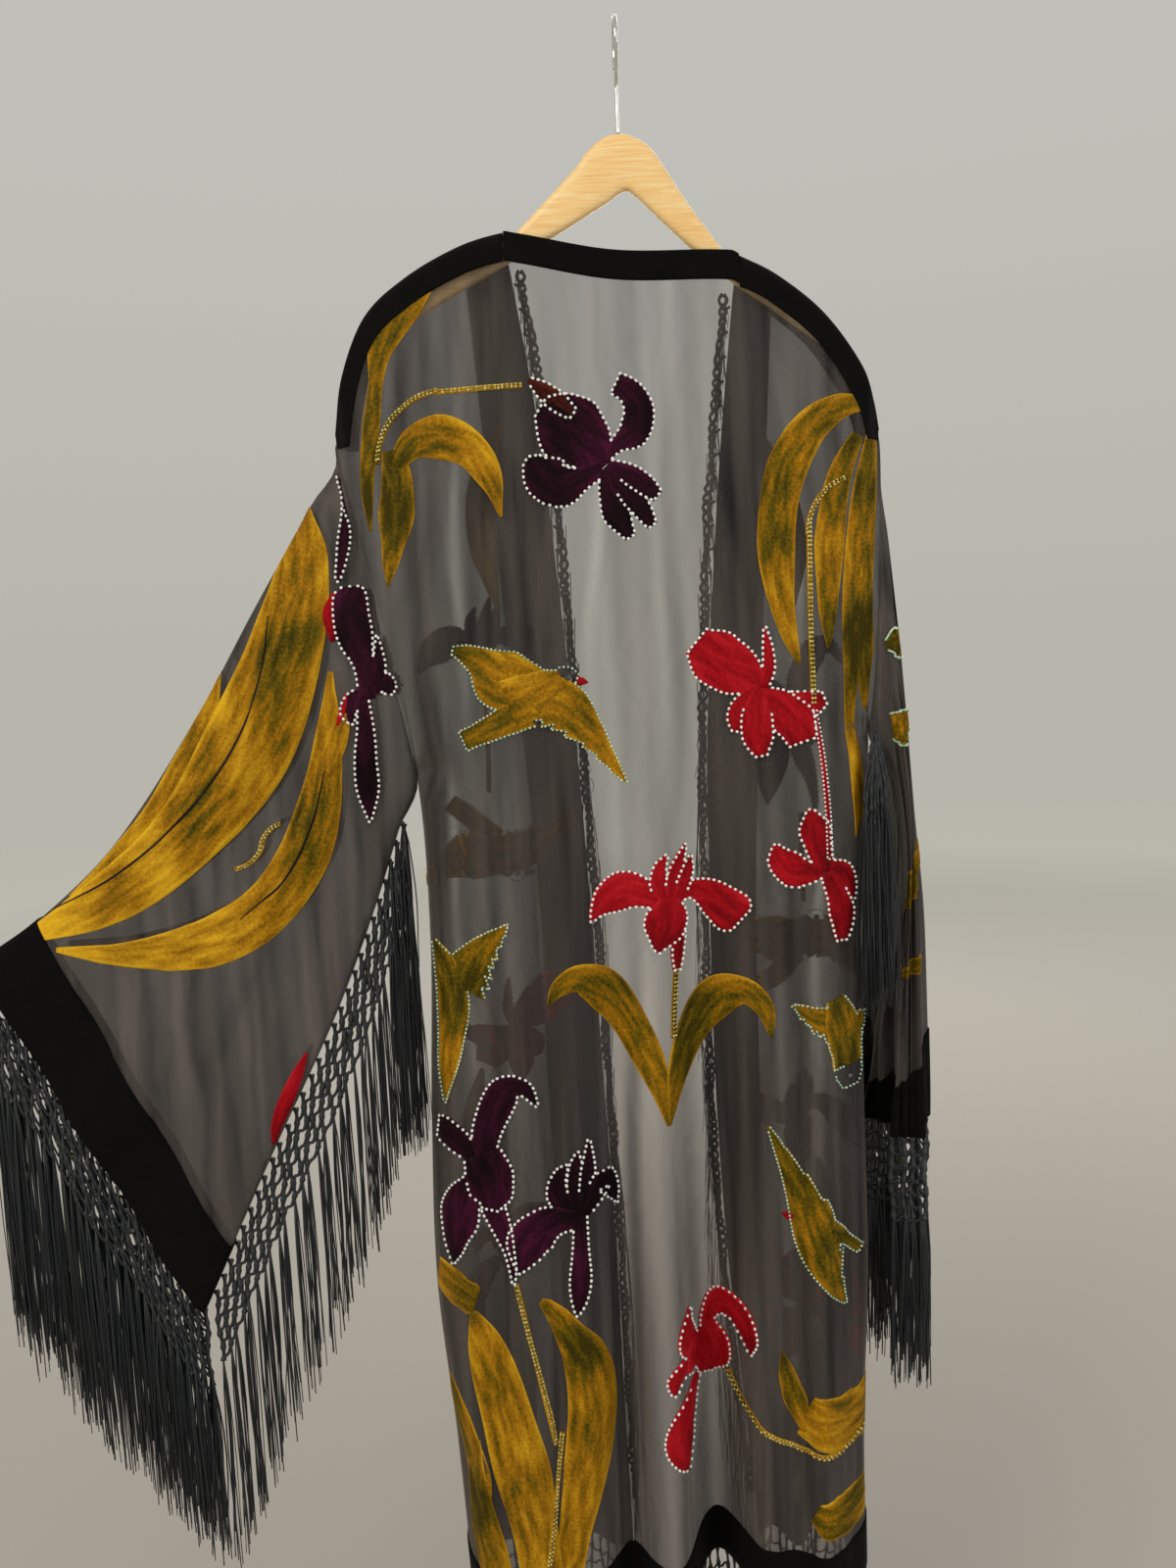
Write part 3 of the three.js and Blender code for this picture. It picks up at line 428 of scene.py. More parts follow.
def panel_grid(name, us, share_rows, top_rows=()):
    """Points of a panel: drops below its top line, then even steps to the hem."""
    us = np.asarray(us, float)[:, None]
    start = top_rows[-1] if len(top_rows) else 0
    rows = [np.full_like(us, row) for row in top_rows[:-1]]
    rows += [mix(start, hem_below(name, us), share) for share in share_rows]
    return panel_point(name, us, np.concatenate(rows, axis=1))


LEFT_WAVE = 4               # height of the slow wave through the left sleeve
WAVES_ACROSS, WAVES_ALONG = 2.5, 0.6


def left_sleeve_point(angle, t):
    """The left sleeve: a flat, blunt ring at each t, from its upper fold round the lower
    seam, with a slow wave through both layers and creases in each."""
    angle, t = np.broadcast_arrays(angle, t)
    c = np.cos(angle)
    share = (1 - c) / 2
    drop = mix(left_cut["up_drop"](t), left_cut["low_drop"](t), share)
    power = left_cut["power"](t)
    side = np.sign(np.sin(angle))
    blunt = np.maximum(1 - np.abs(c) ** power, 0) ** (1 / power)
    turn = 2 * math.pi * (WAVES_ACROSS * share + WAVES_ALONG * t)
    wave = LEFT_WAVE * np.sin(turn) * smooth(t / 0.3) * np.sin(math.pi * share)
    creases = np.zeros(t.shape)
    for place in (-1, 1):
        on_side = sleeve_creases["side"] == place
        own = {name: values[on_side] for name, values in sleeve_creases.items()}
        creases += crease_depth(own, share, t) * (side == place) * side
    seam = 1 - smooth(t / 0.1)
    x = mix(left_cut["up_x"](t), left_cut["low_x"](t), share)
    y = arm_middle(0.0, drop) * (1 - smooth(t / 0.5)) + left_cut["half"](t) * blunt * side
    y = y + wave + creases * np.sin(math.pi * share) ** 0.5
    return stack(mix(x, body["left"](drop), seam) - SEAM_SHIFT, y, -drop)


# Ripples of the right sleeve: height at its sides and at its folds, how many go round,
# how they twist along it, how unevenly they lie, where they start and where they are full
right_ripples = table(
    "sides folds count twist uneven start full",
    (4.4, 13, 9, 1.4, 0, 0, 0.4),
    (2.6, 5.2, 25, -2.2, 0.8, 0.05, 0.35),
)


def right_sleeve_point(angle, t):
    """The right sleeve: an oval loop at each t, from its upper fold to its lower seam, with
    soft folds that run down it and stand out along the oval's own normal."""
    angle, t = np.broadcast_arrays(angle, t)
    c, s = np.cos(angle), np.sin(angle)
    up = stack(right_cut["up_x"](t), right_cut["up_y"](t), -right_cut["up_drop"](t))
    low = stack(right_cut["low_x"](t), right_cut["low_y"](t), -right_cut["low_drop"](t))
    half = right_cut["half"](t)
    reach = np.linalg.norm(up - low, axis=-1) / 2
    point = mix(up, low, ((1 - c) / 2)[..., None])
    point[..., 1] += half * s
    normal = unit(up - low) * (c / reach)[..., None]
    normal[..., 1] += s / half
    for sides, folds, count, twist, uneven, start, full in zip(*right_ripples.values()):
        phase = count * angle + twist * t + uneven * np.sin(3 * angle)
        ripple = mix(sides, folds, c * c) * np.sin(phase) * smooth((t - start) / (full - start))
        point = point + unit(normal) * ripple[..., None]
    seam = 1 - smooth(t / 0.12)
    drop = -point[..., 2]
    flat = arm_middle(1.0, drop) + half * s
    point[..., 0] = mix(point[..., 0], body["right"](drop), seam) + SEAM_SHIFT
    point[..., 1] = mix(point[..., 1], flat, seam)
    return point


# Meshes


def normals_of(points, loop=False, facing=None):
    """Unit normals of a grid of points, from the chords between its neighbours, all turned
    to the side where `facing` points."""
    if loop:
        across = np.roll(points, -1, axis=0) - np.roll(points, 1, axis=0)
    else:
        across = np.gradient(points, axis=0)
    normals = unit(np.cross(across, np.gradient(points, axis=1)))
    if facing is not None and np.sum(normals * facing) < 0:
        normals = -normals
    return normals


def grid_quads(n, m, loop=False):
    """Corners of the faces of a grid of n by m points, numbered row by row."""
    i, j = np.meshgrid(np.arange(n if loop else n - 1), np.arange(m - 1), indexing="ij")
    a, b = i * m + j, (i + 1) % n * m + j
    return np.stack([a, a + 1, b + 1, b], axis=-1).reshape(-1, 4)


def shape(points, quads, tris=(), **attributes):
    """A closed mesh, turned so that its faces point out: its volume is more than nothing."""
    quads = np.asarray(quads, int).reshape(-1, 4)
    tris = np.asarray(tris, int).reshape(-1, 3)
    corners = np.concatenate([quads[:, [0, 1, 2]], quads[:, [0, 2, 3]], tris])
    a, b, c = (points[corners[:, k]] - points[0] for k in range(3))
    if np.sum(a * np.cross(b, c)) < 0:
        quads, tris = quads[:, ::-1], tris[:, ::-1]
    return dict(points=points, quads=quads, tris=tris, attributes=attributes)


def grid_rim(n, m, j, loop):
    """Faces that join the two sides of a wall of n by m points along its row j."""
    i = np.arange(n if loop else n - 1)
    a, b = i * m + j, (i + 1) % n * m + j
    return np.stack([a, b, b + n * m, a + n * m], axis=1)


def wall(points, normals, near, far, loop=False, **attributes):
    """Closed wall on a grid: its points moved along the normals by two distances, each one
    number or one for each point. An attribute has one value for each point of the grid."""
    n, m = points.shape[:2]
    near, far = (np.broadcast_to(distance, (n, m))[..., None] for distance in (near, far))
    both = np.concatenate([(points + normals * near).reshape(-1, 3),
                           (points + normals * far).reshape(-1, 3)])
    size = n * m
    faces = grid_quads(n, m, loop)
    ends = [grid_rim(n, m, 0, loop), grid_rim(n, m, m - 1, loop)[:, ::-1]]
    if not loop:
        row = np.arange(m - 1)
        ends.append(np.stack([row, row + size, row + 1 + size, row + 1], axis=1))
        last = row + (n - 1) * m
        ends.append(np.stack([last, last + 1, last + 1 + size, last + size], axis=1))
    quads = np.concatenate([faces, faces[:, ::-1] + size, *ends])
    doubled = {name: np.concatenate([np.reshape(value, (size, -1))] * 2)
               for name, value in attributes.items()}
    return shape(both, quads, **doubled)


def joined(shapes):
    """Several shapes as one, with the attributes that all of them have."""
    offsets = np.cumsum([0] + [len(part["points"]) for part in shapes[:-1]])
    names = set.intersection(*(set(part["attributes"]) for part in shapes))
    return dict(
        points=np.concatenate([part["points"] for part in shapes]),
        quads=np.concatenate([part["quads"] + k for part, k in zip(shapes, offsets)]),
        tris=np.concatenate([part["tris"] + k for part, k in zip(shapes, offsets)]),
        attributes={name: np.concatenate([part["attributes"][name] for part in shapes])
                    for name in names},
    )


def make(name, made, material, replaces=()):
    """New object at the origin from a shape in millimetres. It rides on the garment."""
    points, quads, tris = made["points"] * MM, made["quads"], made["tris"]
    mesh = bpy.data.meshes.new(name)
    corners = np.concatenate([quads.ravel(), tris.ravel()]).astype(np.int32)
    totals = np.concatenate([np.full(len(quads), 4), np.full(len(tris), 3)]).astype(np.int32)
    mesh.vertices.add(len(points))
    mesh.vertices.foreach_set("co", points.astype(np.float32).ravel())
    mesh.loops.add(len(corners))
    mesh.loops.foreach_set("vertex_index", corners)
    mesh.polygons.add(len(totals))
    mesh.polygons.foreach_set("loop_start", np.concatenate([[0], np.cumsum(totals)[:-1]]).astype(np.int32))
    mesh.polygons.foreach_set("loop_total", totals)
    mesh.polygons.foreach_set("use_smooth", np.ones(len(totals), bool))
    mesh.update(calc_edges=True)
    mesh.validate()
    for label, values in made["attributes"].items():
        values = values.astype(np.float32)
        if values.shape[1] == 2:
            layer = mesh.uv_layers.new(name=label)
            layer.data.foreach_set("uv", values[corners].ravel())
        else:
            layer = mesh.attributes.new(label, "FLOAT", "POINT")
            layer.data.foreach_set("value", values.ravel())
    mesh.materials.append(material)
    piece = bpy.data.objects.new(name, mesh)
    bpy.context.scene.collection.objects.link(piece)
    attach(piece, "root")
    if replaces:
        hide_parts(*replaces)
    return piece


def rods(rings, **attributes):
    """Closed rods from the rings of points along each: an array of rods by rings by points."""
    count, steps, sides = rings.shape[:3]
    k = np.arange(count)[:, None, None] * steps * sides
    i = np.arange(steps - 1)[None, :, None] * sides
    a = np.arange(sides)[None, None, :]
    b = (a + 1) % sides
    quads = np.stack([k + i + a, k + i + b, k + i + sides + b, k + i + sides + a], axis=-1)
    fan = np.arange(1, sides - 1)[None, :]
    base = np.arange(count)[:, None] * steps * sides
    last = base + (steps - 1) * sides
    caps = [np.stack(np.broadcast_arrays(base, base + fan + 1, base + fan), axis=-1),
            np.stack(np.broadcast_arrays(last, last + fan, last + fan + 1), axis=-1)]
    return shape(rings.reshape(-1, 3), quads, np.concatenate(caps), **attributes)


def tubes(paths, radius, sides, across=(0.0, 1.0, 0.0), turn=0.0):
    """Rods along many paths at once: a ring of `sides` points about each point of a path,
    square to the path. Their map gives the way round and along."""
    paths = np.asarray(paths, float)
    count, steps = paths.shape[:2]
    tangent = unit(np.gradient(paths, axis=1))
    side = unit(np.cross(tangent, np.broadcast_to(across, paths.shape)))
    other = np.cross(side, tangent)
    angle = np.broadcast_to(turns(sides) + np.reshape(turn, (-1, 1)), (count, sides))[:, None, :, None]
    wide = np.broadcast_to(radius, (count, steps))[..., None, None]
    rings = paths[:, :, None] + wide * (np.cos(angle) * side[:, :, None] + np.sin(angle) * other[:, :, None])
    length = np.cumsum(np.linalg.norm(np.diff(paths, axis=1, prepend=paths[:, :1]), axis=-1), axis=1)
    round_map, long_map = np.broadcast_arrays(np.arange(sides) / sides, length[..., None])
    return rods(rings, strand=np.stack([round_map, long_map], axis=-1).reshape(-1, 2))


# Materials


def linear(colour):
    """Linear colour of an sRGB hex value such as "#4a4442"."""
    parts = [int(colour[k:k + 2], 16) / 255 for k in (1, 3, 5)]
    return [c / 12.92 if c <= 0.04045 else ((c + 0.055) / 1.055) ** 2.4 for c in parts] + [1.0]


def feed(tree, node, inputs):
    """Puts values or other nodes' outputs on a node's inputs."""
    for key, value in inputs.items():
        if isinstance(value, bpy.types.NodeSocket):
            tree.links.new(value, node.inputs[key])
        else:
            node.inputs[key].default_value = value


def add(tree, kind, inputs=None, stops=(), **settings):
    """New node with its settings, what is on its inputs, and colours at stops from 0 to 1."""
    node = tree.nodes.new(kind)
    for key, value in settings.items():
        setattr(node, key, value)
    if stops:
        elements = node.color_ramp.elements
        while len(elements) < len(stops):
            elements.new(0.5)
        for element, (place, colour) in zip(elements, stops):
            element.position = place
            element.color = linear(colour)
    feed(tree, node, inputs or {})
    return node


def begin(name, constants):
    """New material: a Principled shader with what is the same all over on its own sockets."""
    material = bpy.data.materials.new(name)
    material.use_nodes = True
    shader = material.node_tree.nodes["Principled BSDF"]
    feed(material.node_tree, shader, constants)
    return material, material.node_tree, shader


def per(*sizes):
    """Scale of a noise on Object coordinates whose grains have these sizes in millimetres."""
    scales = tuple(1 / (size * MM) for size in sizes)
    return scales if len(scales) > 1 else scales[0]


def bands(spacing, length=1.0):
    """Scale of a wave texture whose bands lie this many millimetres apart. `length` is a
    millimetre on the texture's map. A wave texture repeats every 2 pi / 20 at scale 1."""
    return 2 * math.pi / 20 / (spacing * length)


# Silk chiffon, dyed: a plain weave of hard-twisted yarns, sheer, dry and faintly crisp.
# Its threads are 0.35 mm apart, drawn at 2 mm so that they show. Crinkles 13 mm wide run
# down it, and two layers of the weave beat against each other in wavy watermarks.
chiffon, tree, shader = begin("silk_chiffon", {
    "Roughness": 0.72, "IOR": 1.5, "Specular IOR Level": 0.25,
    "Sheen Weight": 0.25, "Sheen Roughness": 0.5, "Sheen Tint": linear("#8d857b"),
})
place = add(tree, "ShaderNodeTexCoord").outputs["Object"]
weave_map = add(tree, "ShaderNodeUVMap", uv_map="cloth").outputs["UV"]
threads = add(tree, "ShaderNodeTexWave", {"Vector": weave_map, "Scale": bands(1.963), "Distortion": 0.4},
              wave_type="BANDS", bands_direction="X").outputs["Fac"]
hung = add(tree, "ShaderNodeMapping", {"Vector": place, "Scale": per(13.33, 13.33, 333.3)}).outputs["Vector"]
crinkle = add(tree, "ShaderNodeTexNoise", {"Vector": hung, "Scale": 1.0, "Detail": 2.0}).outputs["Fac"]
# The colour follows the crinkles' relief and is darker where they sink: painted shade in their hollows.
tint = add(tree, "ShaderNodeValToRGB", {"Fac": crinkle}, ((0.32, "#312d2b"), (0.68, "#635b56")))
weave = add(tree, "ShaderNodeBump", {"Height": threads, "Strength": 0.03, "Distance": 0.2 * MM})
relief = add(tree, "ShaderNodeBump", {"Height": crinkle, "Strength": 0.5, "Distance": 2 * MM,
                                      "Normal": weave.outputs["Normal"]})
cover = add(tree, "ShaderNodeAttribute", attribute_name="cover").outputs["Fac"]
beat = add(tree, "ShaderNodeTexWave", {"Vector": place, "Scale": bands(14.28, MM), "Distortion": 12.0,
                                       "Detail": 1.0, "Detail Scale": 0.8}, wave_type="BANDS").outputs["Fac"]
beat = add(tree, "ShaderNodeMath", {0: beat, 1: 0.05, 2: 0.975}, operation="MULTIPLY_ADD").outputs[0]
alpha = add(tree, "ShaderNodeMath", {0: cover, 1: beat}, operation="MULTIPLY").outputs[0]
feed(tree, shader, {"Base Color": tint.outputs["Color"], "Normal": relief.outputs["Normal"], "Alpha": alpha})

# Silk and rayon velvet, black: an upright pile that looks black face on and shows a
# soft grey bloom where it turns away. The nap lies in patches of 17 mm, and the tufts are
# drawn at 3 mm so that they show.
velvet, tree, shader = begin("black_velvet", {
    "Roughness": 0.9, "IOR": 1.5, "Specular IOR Level": 0.12,
    "Sheen Weight": 0.08, "Sheen Roughness": 0.35, "Sheen Tint": linear("#4a4542"),
})
place = add(tree, "ShaderNodeTexCoord").outputs["Object"]
nap = add(tree, "ShaderNodeTexNoise", {"Vector": place, "Scale": per(16.67), "Detail": 4.0}).outputs["Fac"]
pile = add(tree, "ShaderNodeTexNoise", {"Vector": place, "Scale": per(3.333), "Detail": 1.0}).outputs["Fac"]
tint = add(tree, "ShaderNodeValToRGB", {"Fac": nap}, ((0.3, "#040403"), (0.75, "#0a0909")))
relief = add(tree, "ShaderNodeBump", {"Height": pile, "Strength": 0.12, "Distance": 0.5 * MM})
feed(tree, shader, {"Base Color": tint.outputs["Color"], "Normal": relief.outputs["Normal"]})

# Burnt-out velvet, printed: silk ground with a rayon pile left in the figures. The pile
# takes the light in streaks along each figure, in patches of 77 mm and in crushed specks
# of 2.4 mm. Its colour is painted brighter on its edges, a painted highlight on the rim of
# the pile, and brighter and brighter out along the raised sleeve, as painted light.
FIGURE_COLOURS = {
    "gold": ("#3c3204", "#615006", "#99690b", "#e6b324"),
    "plum": ("#0d0307", "#1b060f", "#2d091b", "#5c173d"),
    "red": ("#60030c", "#840710", "#a30c18", "#cf2630"),
    "brown": ("#1c0503", "#34100a", "#4f1b10", "#7a3226"),
    "ground": ("#15110e", "#1d1814", "#26201b", "#332b25"),
}
STREAK_SCALE = (1 / 6.25, 1 / 33.33, 1.0)   # streaks 6 mm wide and 33 mm long
figure_velvet = {}
for colour, (deep, dark, middle, bright) in FIGURE_COLOURS.items():
    made, tree, shader = begin(colour + "_velvet", {
        "Roughness": 0.75, "IOR": 1.5, "Specular IOR Level": 0.08,
        "Sheen Weight": 0.12, "Sheen Roughness": 0.3, "Sheen Tint": linear(bright),
    })
    blade_map = add(tree, "ShaderNodeUVMap", uv_map="blade").outputs["UV"]
    place = add(tree, "ShaderNodeTexCoord").outputs["Object"]
    along = add(tree, "ShaderNodeMapping", {"Vector": blade_map, "Scale": STREAK_SCALE}).outputs["Vector"]
    streaks = add(tree, "ShaderNodeTexNoise", {"Vector": along, "Scale": 1.0, "Detail": 1.0}).outputs["Fac"]
    patches = add(tree, "ShaderNodeTexNoise", {
        "Vector": place, "Scale": per(76.92), "Detail": 1.0}).outputs["Fac"]
    specks = add(tree, "ShaderNodeTexNoise", {
        "Vector": place, "Scale": per(2.381), "Detail": 2.0}).outputs["Fac"]
    rim = add(tree, "ShaderNodeAttribute", attribute_name="rim").outputs["Fac"]
    # Painted light that grows out along the raised sleeve
    lean = add(tree, "ShaderNodeAttribute", attribute_name="lean").outputs["Fac"]
    # Painted highlight: the rim of each strip is made brighter
    edge = add(tree, "ShaderNodeMath", {0: rim, 1: 9.0}, operation="POWER").outputs[0]
    tone_and_painted_light = 0.0
    for share, part in ((0.35, streaks), (0.45, patches), (0.20, specks), (0.16, edge), (0.16, lean)):
        tone_and_painted_light = add(tree, "ShaderNodeMath", {0: part, 1: share, 2: tone_and_painted_light}, operation="MULTIPLY_ADD").outputs[0]
    tint = add(tree, "ShaderNodeValToRGB", {"Fac": tone_and_painted_light},
               ((0.37, deep), (0.45, dark), (0.53, middle), (0.76, bright)))
    relief = add(tree, "ShaderNodeBump", {"Height": specks, "Strength": 0.25, "Distance": 0.5 * MM})
    feed(tree, shader, {"Base Color": tint.outputs["Color"], "Normal": relief.outputs["Normal"]})
    figure_velvet[colour] = made

# Glass seed beads, tumbled and fire polished: small sharp lights on every one, and their
# colour a little different from one to the next.
# The jet beads are coloured dark grey rather than black: painted glint.
BEAD_COLOURS = {
    "white": ("#e9ebe2", "#ffffff", 0.0), "green": ("#86b89a", "#d6ead0", 0.0),
    "gold": ("#8f7a12", "#e2d27a", 0.2), "jet": ("#2b2e33", "#50555c", 0.3),
}
bead_glass = {}
for kind, (dull, clear, metallic) in BEAD_COLOURS.items():
    made, tree, shader = begin(kind + "_seed_bead_glass", {
        "Roughness": 0.16, "IOR": 1.52, "Metallic": metallic, "Coat Weight": 0.6, "Coat Roughness": 0.05,
    })
    place = add(tree, "ShaderNodeTexCoord").outputs["Object"]
    batch = add(tree, "ShaderNodeTexNoise", {"Vector": place, "Scale": per(3.846), "Detail": 1.0})
    tint = add(tree, "ShaderNodeValToRGB", {"Fac": batch.outputs["Fac"]}, ((0.35, dull), (0.6, clear)))
    feed(tree, shader, {"Base Color": tint.outputs["Color"]})
    bead_glass[kind] = made

# Viscose cord, black: glossy twisted fibres, a turn every 1.3 mm, with thin painted highlights
# along each turn. A diagonal band is twice as wide as a straight one of the same scale.
viscose, tree, shader = begin("viscose_cord", {
    "Roughness": 0.42, "IOR": 1.53, "Specular IOR Level": 0.5,
    "Sheen Weight": 0.2, "Sheen Roughness": 0.4, "Sheen Tint": linear("#6d7a80"),
})
strand_map = add(tree, "ShaderNodeUVMap", uv_map="strand").outputs["UV"]
twist = add(tree, "ShaderNodeTexWave", {"Vector": strand_map, "Scale": 2 * bands(1.2566), "Distortion": 1.0},
            wave_type="BANDS", bands_direction="DIAGONAL").outputs["Fac"]
# Painted highlight: the colour is lighter on the crest of each turn
tint = add(tree, "ShaderNodeValToRGB", {"Fac": twist}, ((0.1, "#0e1113"), (0.9, "#242a2d")))
relief = add(tree, "ShaderNodeBump", {"Height": twist, "Strength": 0.4, "Distance": 0.5 * MM})
feed(tree, shader, {"Base Color": tint.outputs["Color"], "Normal": relief.outputs["Normal"]})

# Maple, turned and varnished: pale, close grain along the hanger under a clear gloss. Its
# grain is 37 mm long and 1.4 to 3 mm wide.
maple, tree, shader = begin("varnished_maple", {
    "Roughness": 0.38, "IOR": 1.5, "Coat Weight": 0.5, "Coat Roughness": 0.15,
})
place = add(tree, "ShaderNodeTexCoord").outputs["Object"]
stretched = add(tree, "ShaderNodeMapping", {"Vector": place, "Scale": per(37.04, 2.778, 1.389)})
grain = add(tree, "ShaderNodeTexNoise", {"Vector": stretched.outputs["Vector"], "Scale": 1.0, "Detail": 6.0,
                                         "Distortion": 0.4}).outputs["Fac"]
tint = add(tree, "ShaderNodeValToRGB", {"Fac": grain},
           ((0.3, "#f3c077"), (0.5, "#fdd28b"), (0.7, "#ffe3a6")))
relief = add(tree, "ShaderNodeBump", {"Height": grain, "Strength": 0.08, "Distance": 0.3 * MM})
feed(tree, shader, {"Base Color": tint.outputs["Color"], "Normal": relief.outputs["Normal"]})

# Chromed steel wire, drawn and bent: bright, with faint marks of 2.5 mm.
chrome, tree, shader = begin("chromed_wire", {"Metallic": 1.0, "Roughness": 0.14})
place = add(tree, "ShaderNodeTexCoord").outputs["Object"]
marks = add(tree, "ShaderNodeTexNoise", {"Vector": place, "Scale": per(2.5), "Detail": 3.0}).outputs["Fac"]
tint = add(tree, "ShaderNodeValToRGB", {"Fac": marks}, ((0.3, "#c9c5bd"), (0.7, "#e6e3dc")))
feed(tree, shader, {"Base Color": tint.outputs["Color"]})

# Chiffon panels and sleeves
# Share of the light that one face of the cloth lets through. The fronts and sleeves let less
# through than the back does: painted shade for the dark inside of the garment behind them.
SHEER = {"back": 0.70, "front_left": 0.46, "front_right": 0.46, "sleeve_left": 0.50, "sleeve_right": 0.50}
LEAST_POWER, MOST_TURNED = 0.4, 0.5     # least power on the sheer share, where painted streaks lighten it most, and least facing counted
# Weights of the painted shade of streaks and of creases in the cloth's alpha
STREAK_SHARE, CREASE_SHARE = 0.17, 1.5
# Waves of the streaks, painted shade of soft folds: strength, width, how far they waver, over what length,
# and where
streak_waves = table(
    "strength width waver length start",
    (1.0, 9, 2.2, 230, 0),
    (0.7, 3.7, 1.6, 170, 1),
)
GATHERS = (-330, 110)           # from this x, over this width, the left armhole is gathered
HEM_OPACITY = (0.8, 760, 520)    # how much more opaque the cloth grows towards the hem, from which drop, over what


def cover_of(name, points, normals):
    """Alpha of one face of the cloth: it lets less through where it turns away from front
    and back, because the way through the threads is longer there. Painted shade of the
    folds makes it let less through in its creases and in soft streaks that run down it,
    more so at the gathered armhole, and it lets less and less through towards the hem."""
    facing = np.clip(np.abs(normals[..., 1]), MOST_TURNED, 1)
    x, down = points[..., 0], -points[..., 2]
    streak = 0
    for strength, width, waver, length, start in zip(*streak_waves.values()):
        streak = streak + strength * np.sin(x / width + waver * np.sin(down / length + start))
    streak = streak * (0.6 + 0.4 * np.sin(x / 31 + down / 300))
    if name in PANELS:
        # Painted shade in the creases
        streak = streak + CREASE_SHARE * crease_depth(PANELS[name]["creases"], x, down)
    # Near the gathered armhole the painted fold shade is stronger, and the cloth lets less through
    if name == "sleeve_left":
        gathered = smooth((x - GATHERS[0]) / GATHERS[1])
        streak = streak * (1 + 1.2 * gathered)
        facing = facing / (1 + 0.25 * gathered)
    more, start, length = HEM_OPACITY
    hem_factor = 1 + more * smooth((down - start) / length)
    return 1 - SHEER[name] ** (hem_factor * np.maximum(1 / facing + STREAK_SHARE * streak, LEAST_POWER))


def cloth_map(points):
    """Map of a sheet in millimetres: lengths along its two directions."""
    first = np.linalg.norm(np.diff(points, axis=0, prepend=points[:1]), axis=-1).cumsum(axis=0)
    second = np.linalg.norm(np.diff(points, axis=1, prepend=points[:, :1]), axis=-1).cumsum(axis=1)
    return np.stack([first, second], axis=-1)


def cloth(name, points, normals, loop=False):
    """Thin closed shell of the sheer cloth on a grid of points."""
    return wall(points, normals, -CLOTH / 2, CLOTH / 2, loop,
                cloth=cloth_map(points), cover=cover_of(name, points, normals))


def side_of(name):
    """Outward side of a panel."""
    return np.array([0.0, PANELS[name]["side"], 0.0])


LONG_ROWS = 110             # rows of points from a panel's rounded top down to its hem
TOP_ROWS = (0, 1, 2.5, 5, 9, 14, 22)

for name, columns in (("back", 188), ("front_left", 80), ("front_right", 80)):
    grid = panel_grid(name, spread(*PANELS[name]["span"], columns), spread(0, 1, LONG_ROWS), TOP_ROWS)
    grid_normals = normals_of(grid, facing=side_of(name))
    make(name + "_chiffon", cloth(name, grid, grid_normals), chiffon, [name])

# Function of a sleeve's points, and how many of them go round it and along it
SLEEVES = {
    "sleeve_left": (left_sleeve_point, 160, 60),
    "sleeve_right": (right_sleeve_point, 250, 48),
}


def ring_normals(rings):
    """Outward normals of rings of points round a sleeve."""
    return normals_of(rings, loop=True, facing=rings - rings.mean(axis=0, keepdims=True))


for name, (place_of, count, rows) in SLEEVES.items():
    grid = place_of(turns(count)[:, None], spread(0, 1, rows)[None, :])
    made = cloth(name, grid, ring_normals(grid), True)
    make(name + "_chiffon", made, chiffon, [name])

# Velvet bands
BAND = (0.5, 1.6)           # near and far side of a band over the cloth's middle
BAND_TOP = 0.4              # how far below the shoulder line its two halves turn over
JOINT = 0.0005              # half the joint of neck and shoulder bands, along the top line


def band(points, normals, loop=False):
    """Thicker closed shell that lies on the cloth. Its cover counts where it is chiffon."""
    return wall(points, normals, *BAND, loop, cloth=cloth_map(points), cover=np.full(points.shape[:2], 0.8))


def band_depth(side, us):
    """How far below the top line a shoulder band reaches: its width square to that line,
    cut off level at the armhole."""
    slope = (top_drop(us + 0.01) - top_drop(us - 0.01)) / (top_x(us + 0.01) - top_x(us - 0.01))
    return np.minimum(BAND_WIDTH * np.hypot(1, slope), CUT[side][0] + 3 - top_drop(us))


def panel_band(name, grid):
    """Band that lies on the outside of a panel."""
    return band(grid, normals_of(grid, facing=side_of(name)))


made_bands = {}
neck_us = spread(NECK_LEFT + JOINT, NECK_RIGHT - JOINT, 70)[:, None]
made_bands["neck_band"] = panel_band("back", panel_point("back", neck_us, spread(0, BAND_WIDTH, 9)[None, :]))
for side, front, span in (("left", "front_left", (0.014, NECK_LEFT - JOINT)),
                          ("right", "front_right", (NECK_RIGHT + JOINT, 0.986))):
    us = spread(*span, 60)[:, None]
    deep = band_depth(side, us)
    down = spread(0, 1, 14)[None, :]
    behind = panel_point("back", us, mix(deep, BAND_TOP, down))
    before = panel_point(front, us, mix(BAND_TOP, deep, down))
    grid = np.concatenate([behind, before], axis=1)
    outward = grid - grid.mean(axis=1, keepdims=True) + (0, 0, 4)
    made_bands["shoulder_band_" + side] = band(grid, normals_of(grid, facing=outward))
for side, front, span in (("left", "front_left", (BAND_LEFT, NECK_LEFT)),
                          ("right", "front_right", (NECK_RIGHT, BAND_RIGHT))):
    grid = panel_grid(front, spread(*span, 9), spread(0, 1, 100), (BAND_WIDTH + 2 * GAP,))
    made_bands["front_band_" + side] = panel_band(front, grid)
for label, name, span, columns in (("back", "back", (0, 1), 150),
                                   ("left", "front_left", (0, BAND_LEFT - 0.002), 50),
                                   ("right", "front_right", (BAND_RIGHT + 0.002, 1), 50)):
    us = spread(*span, columns)[:, None]
    grid = panel_point(name, us, hem_below(name, us) - spread(HEM_BAND_WIDTH, 0, 9)[None, :])
    made_bands["hem_band_" + label] = panel_band(name, grid)
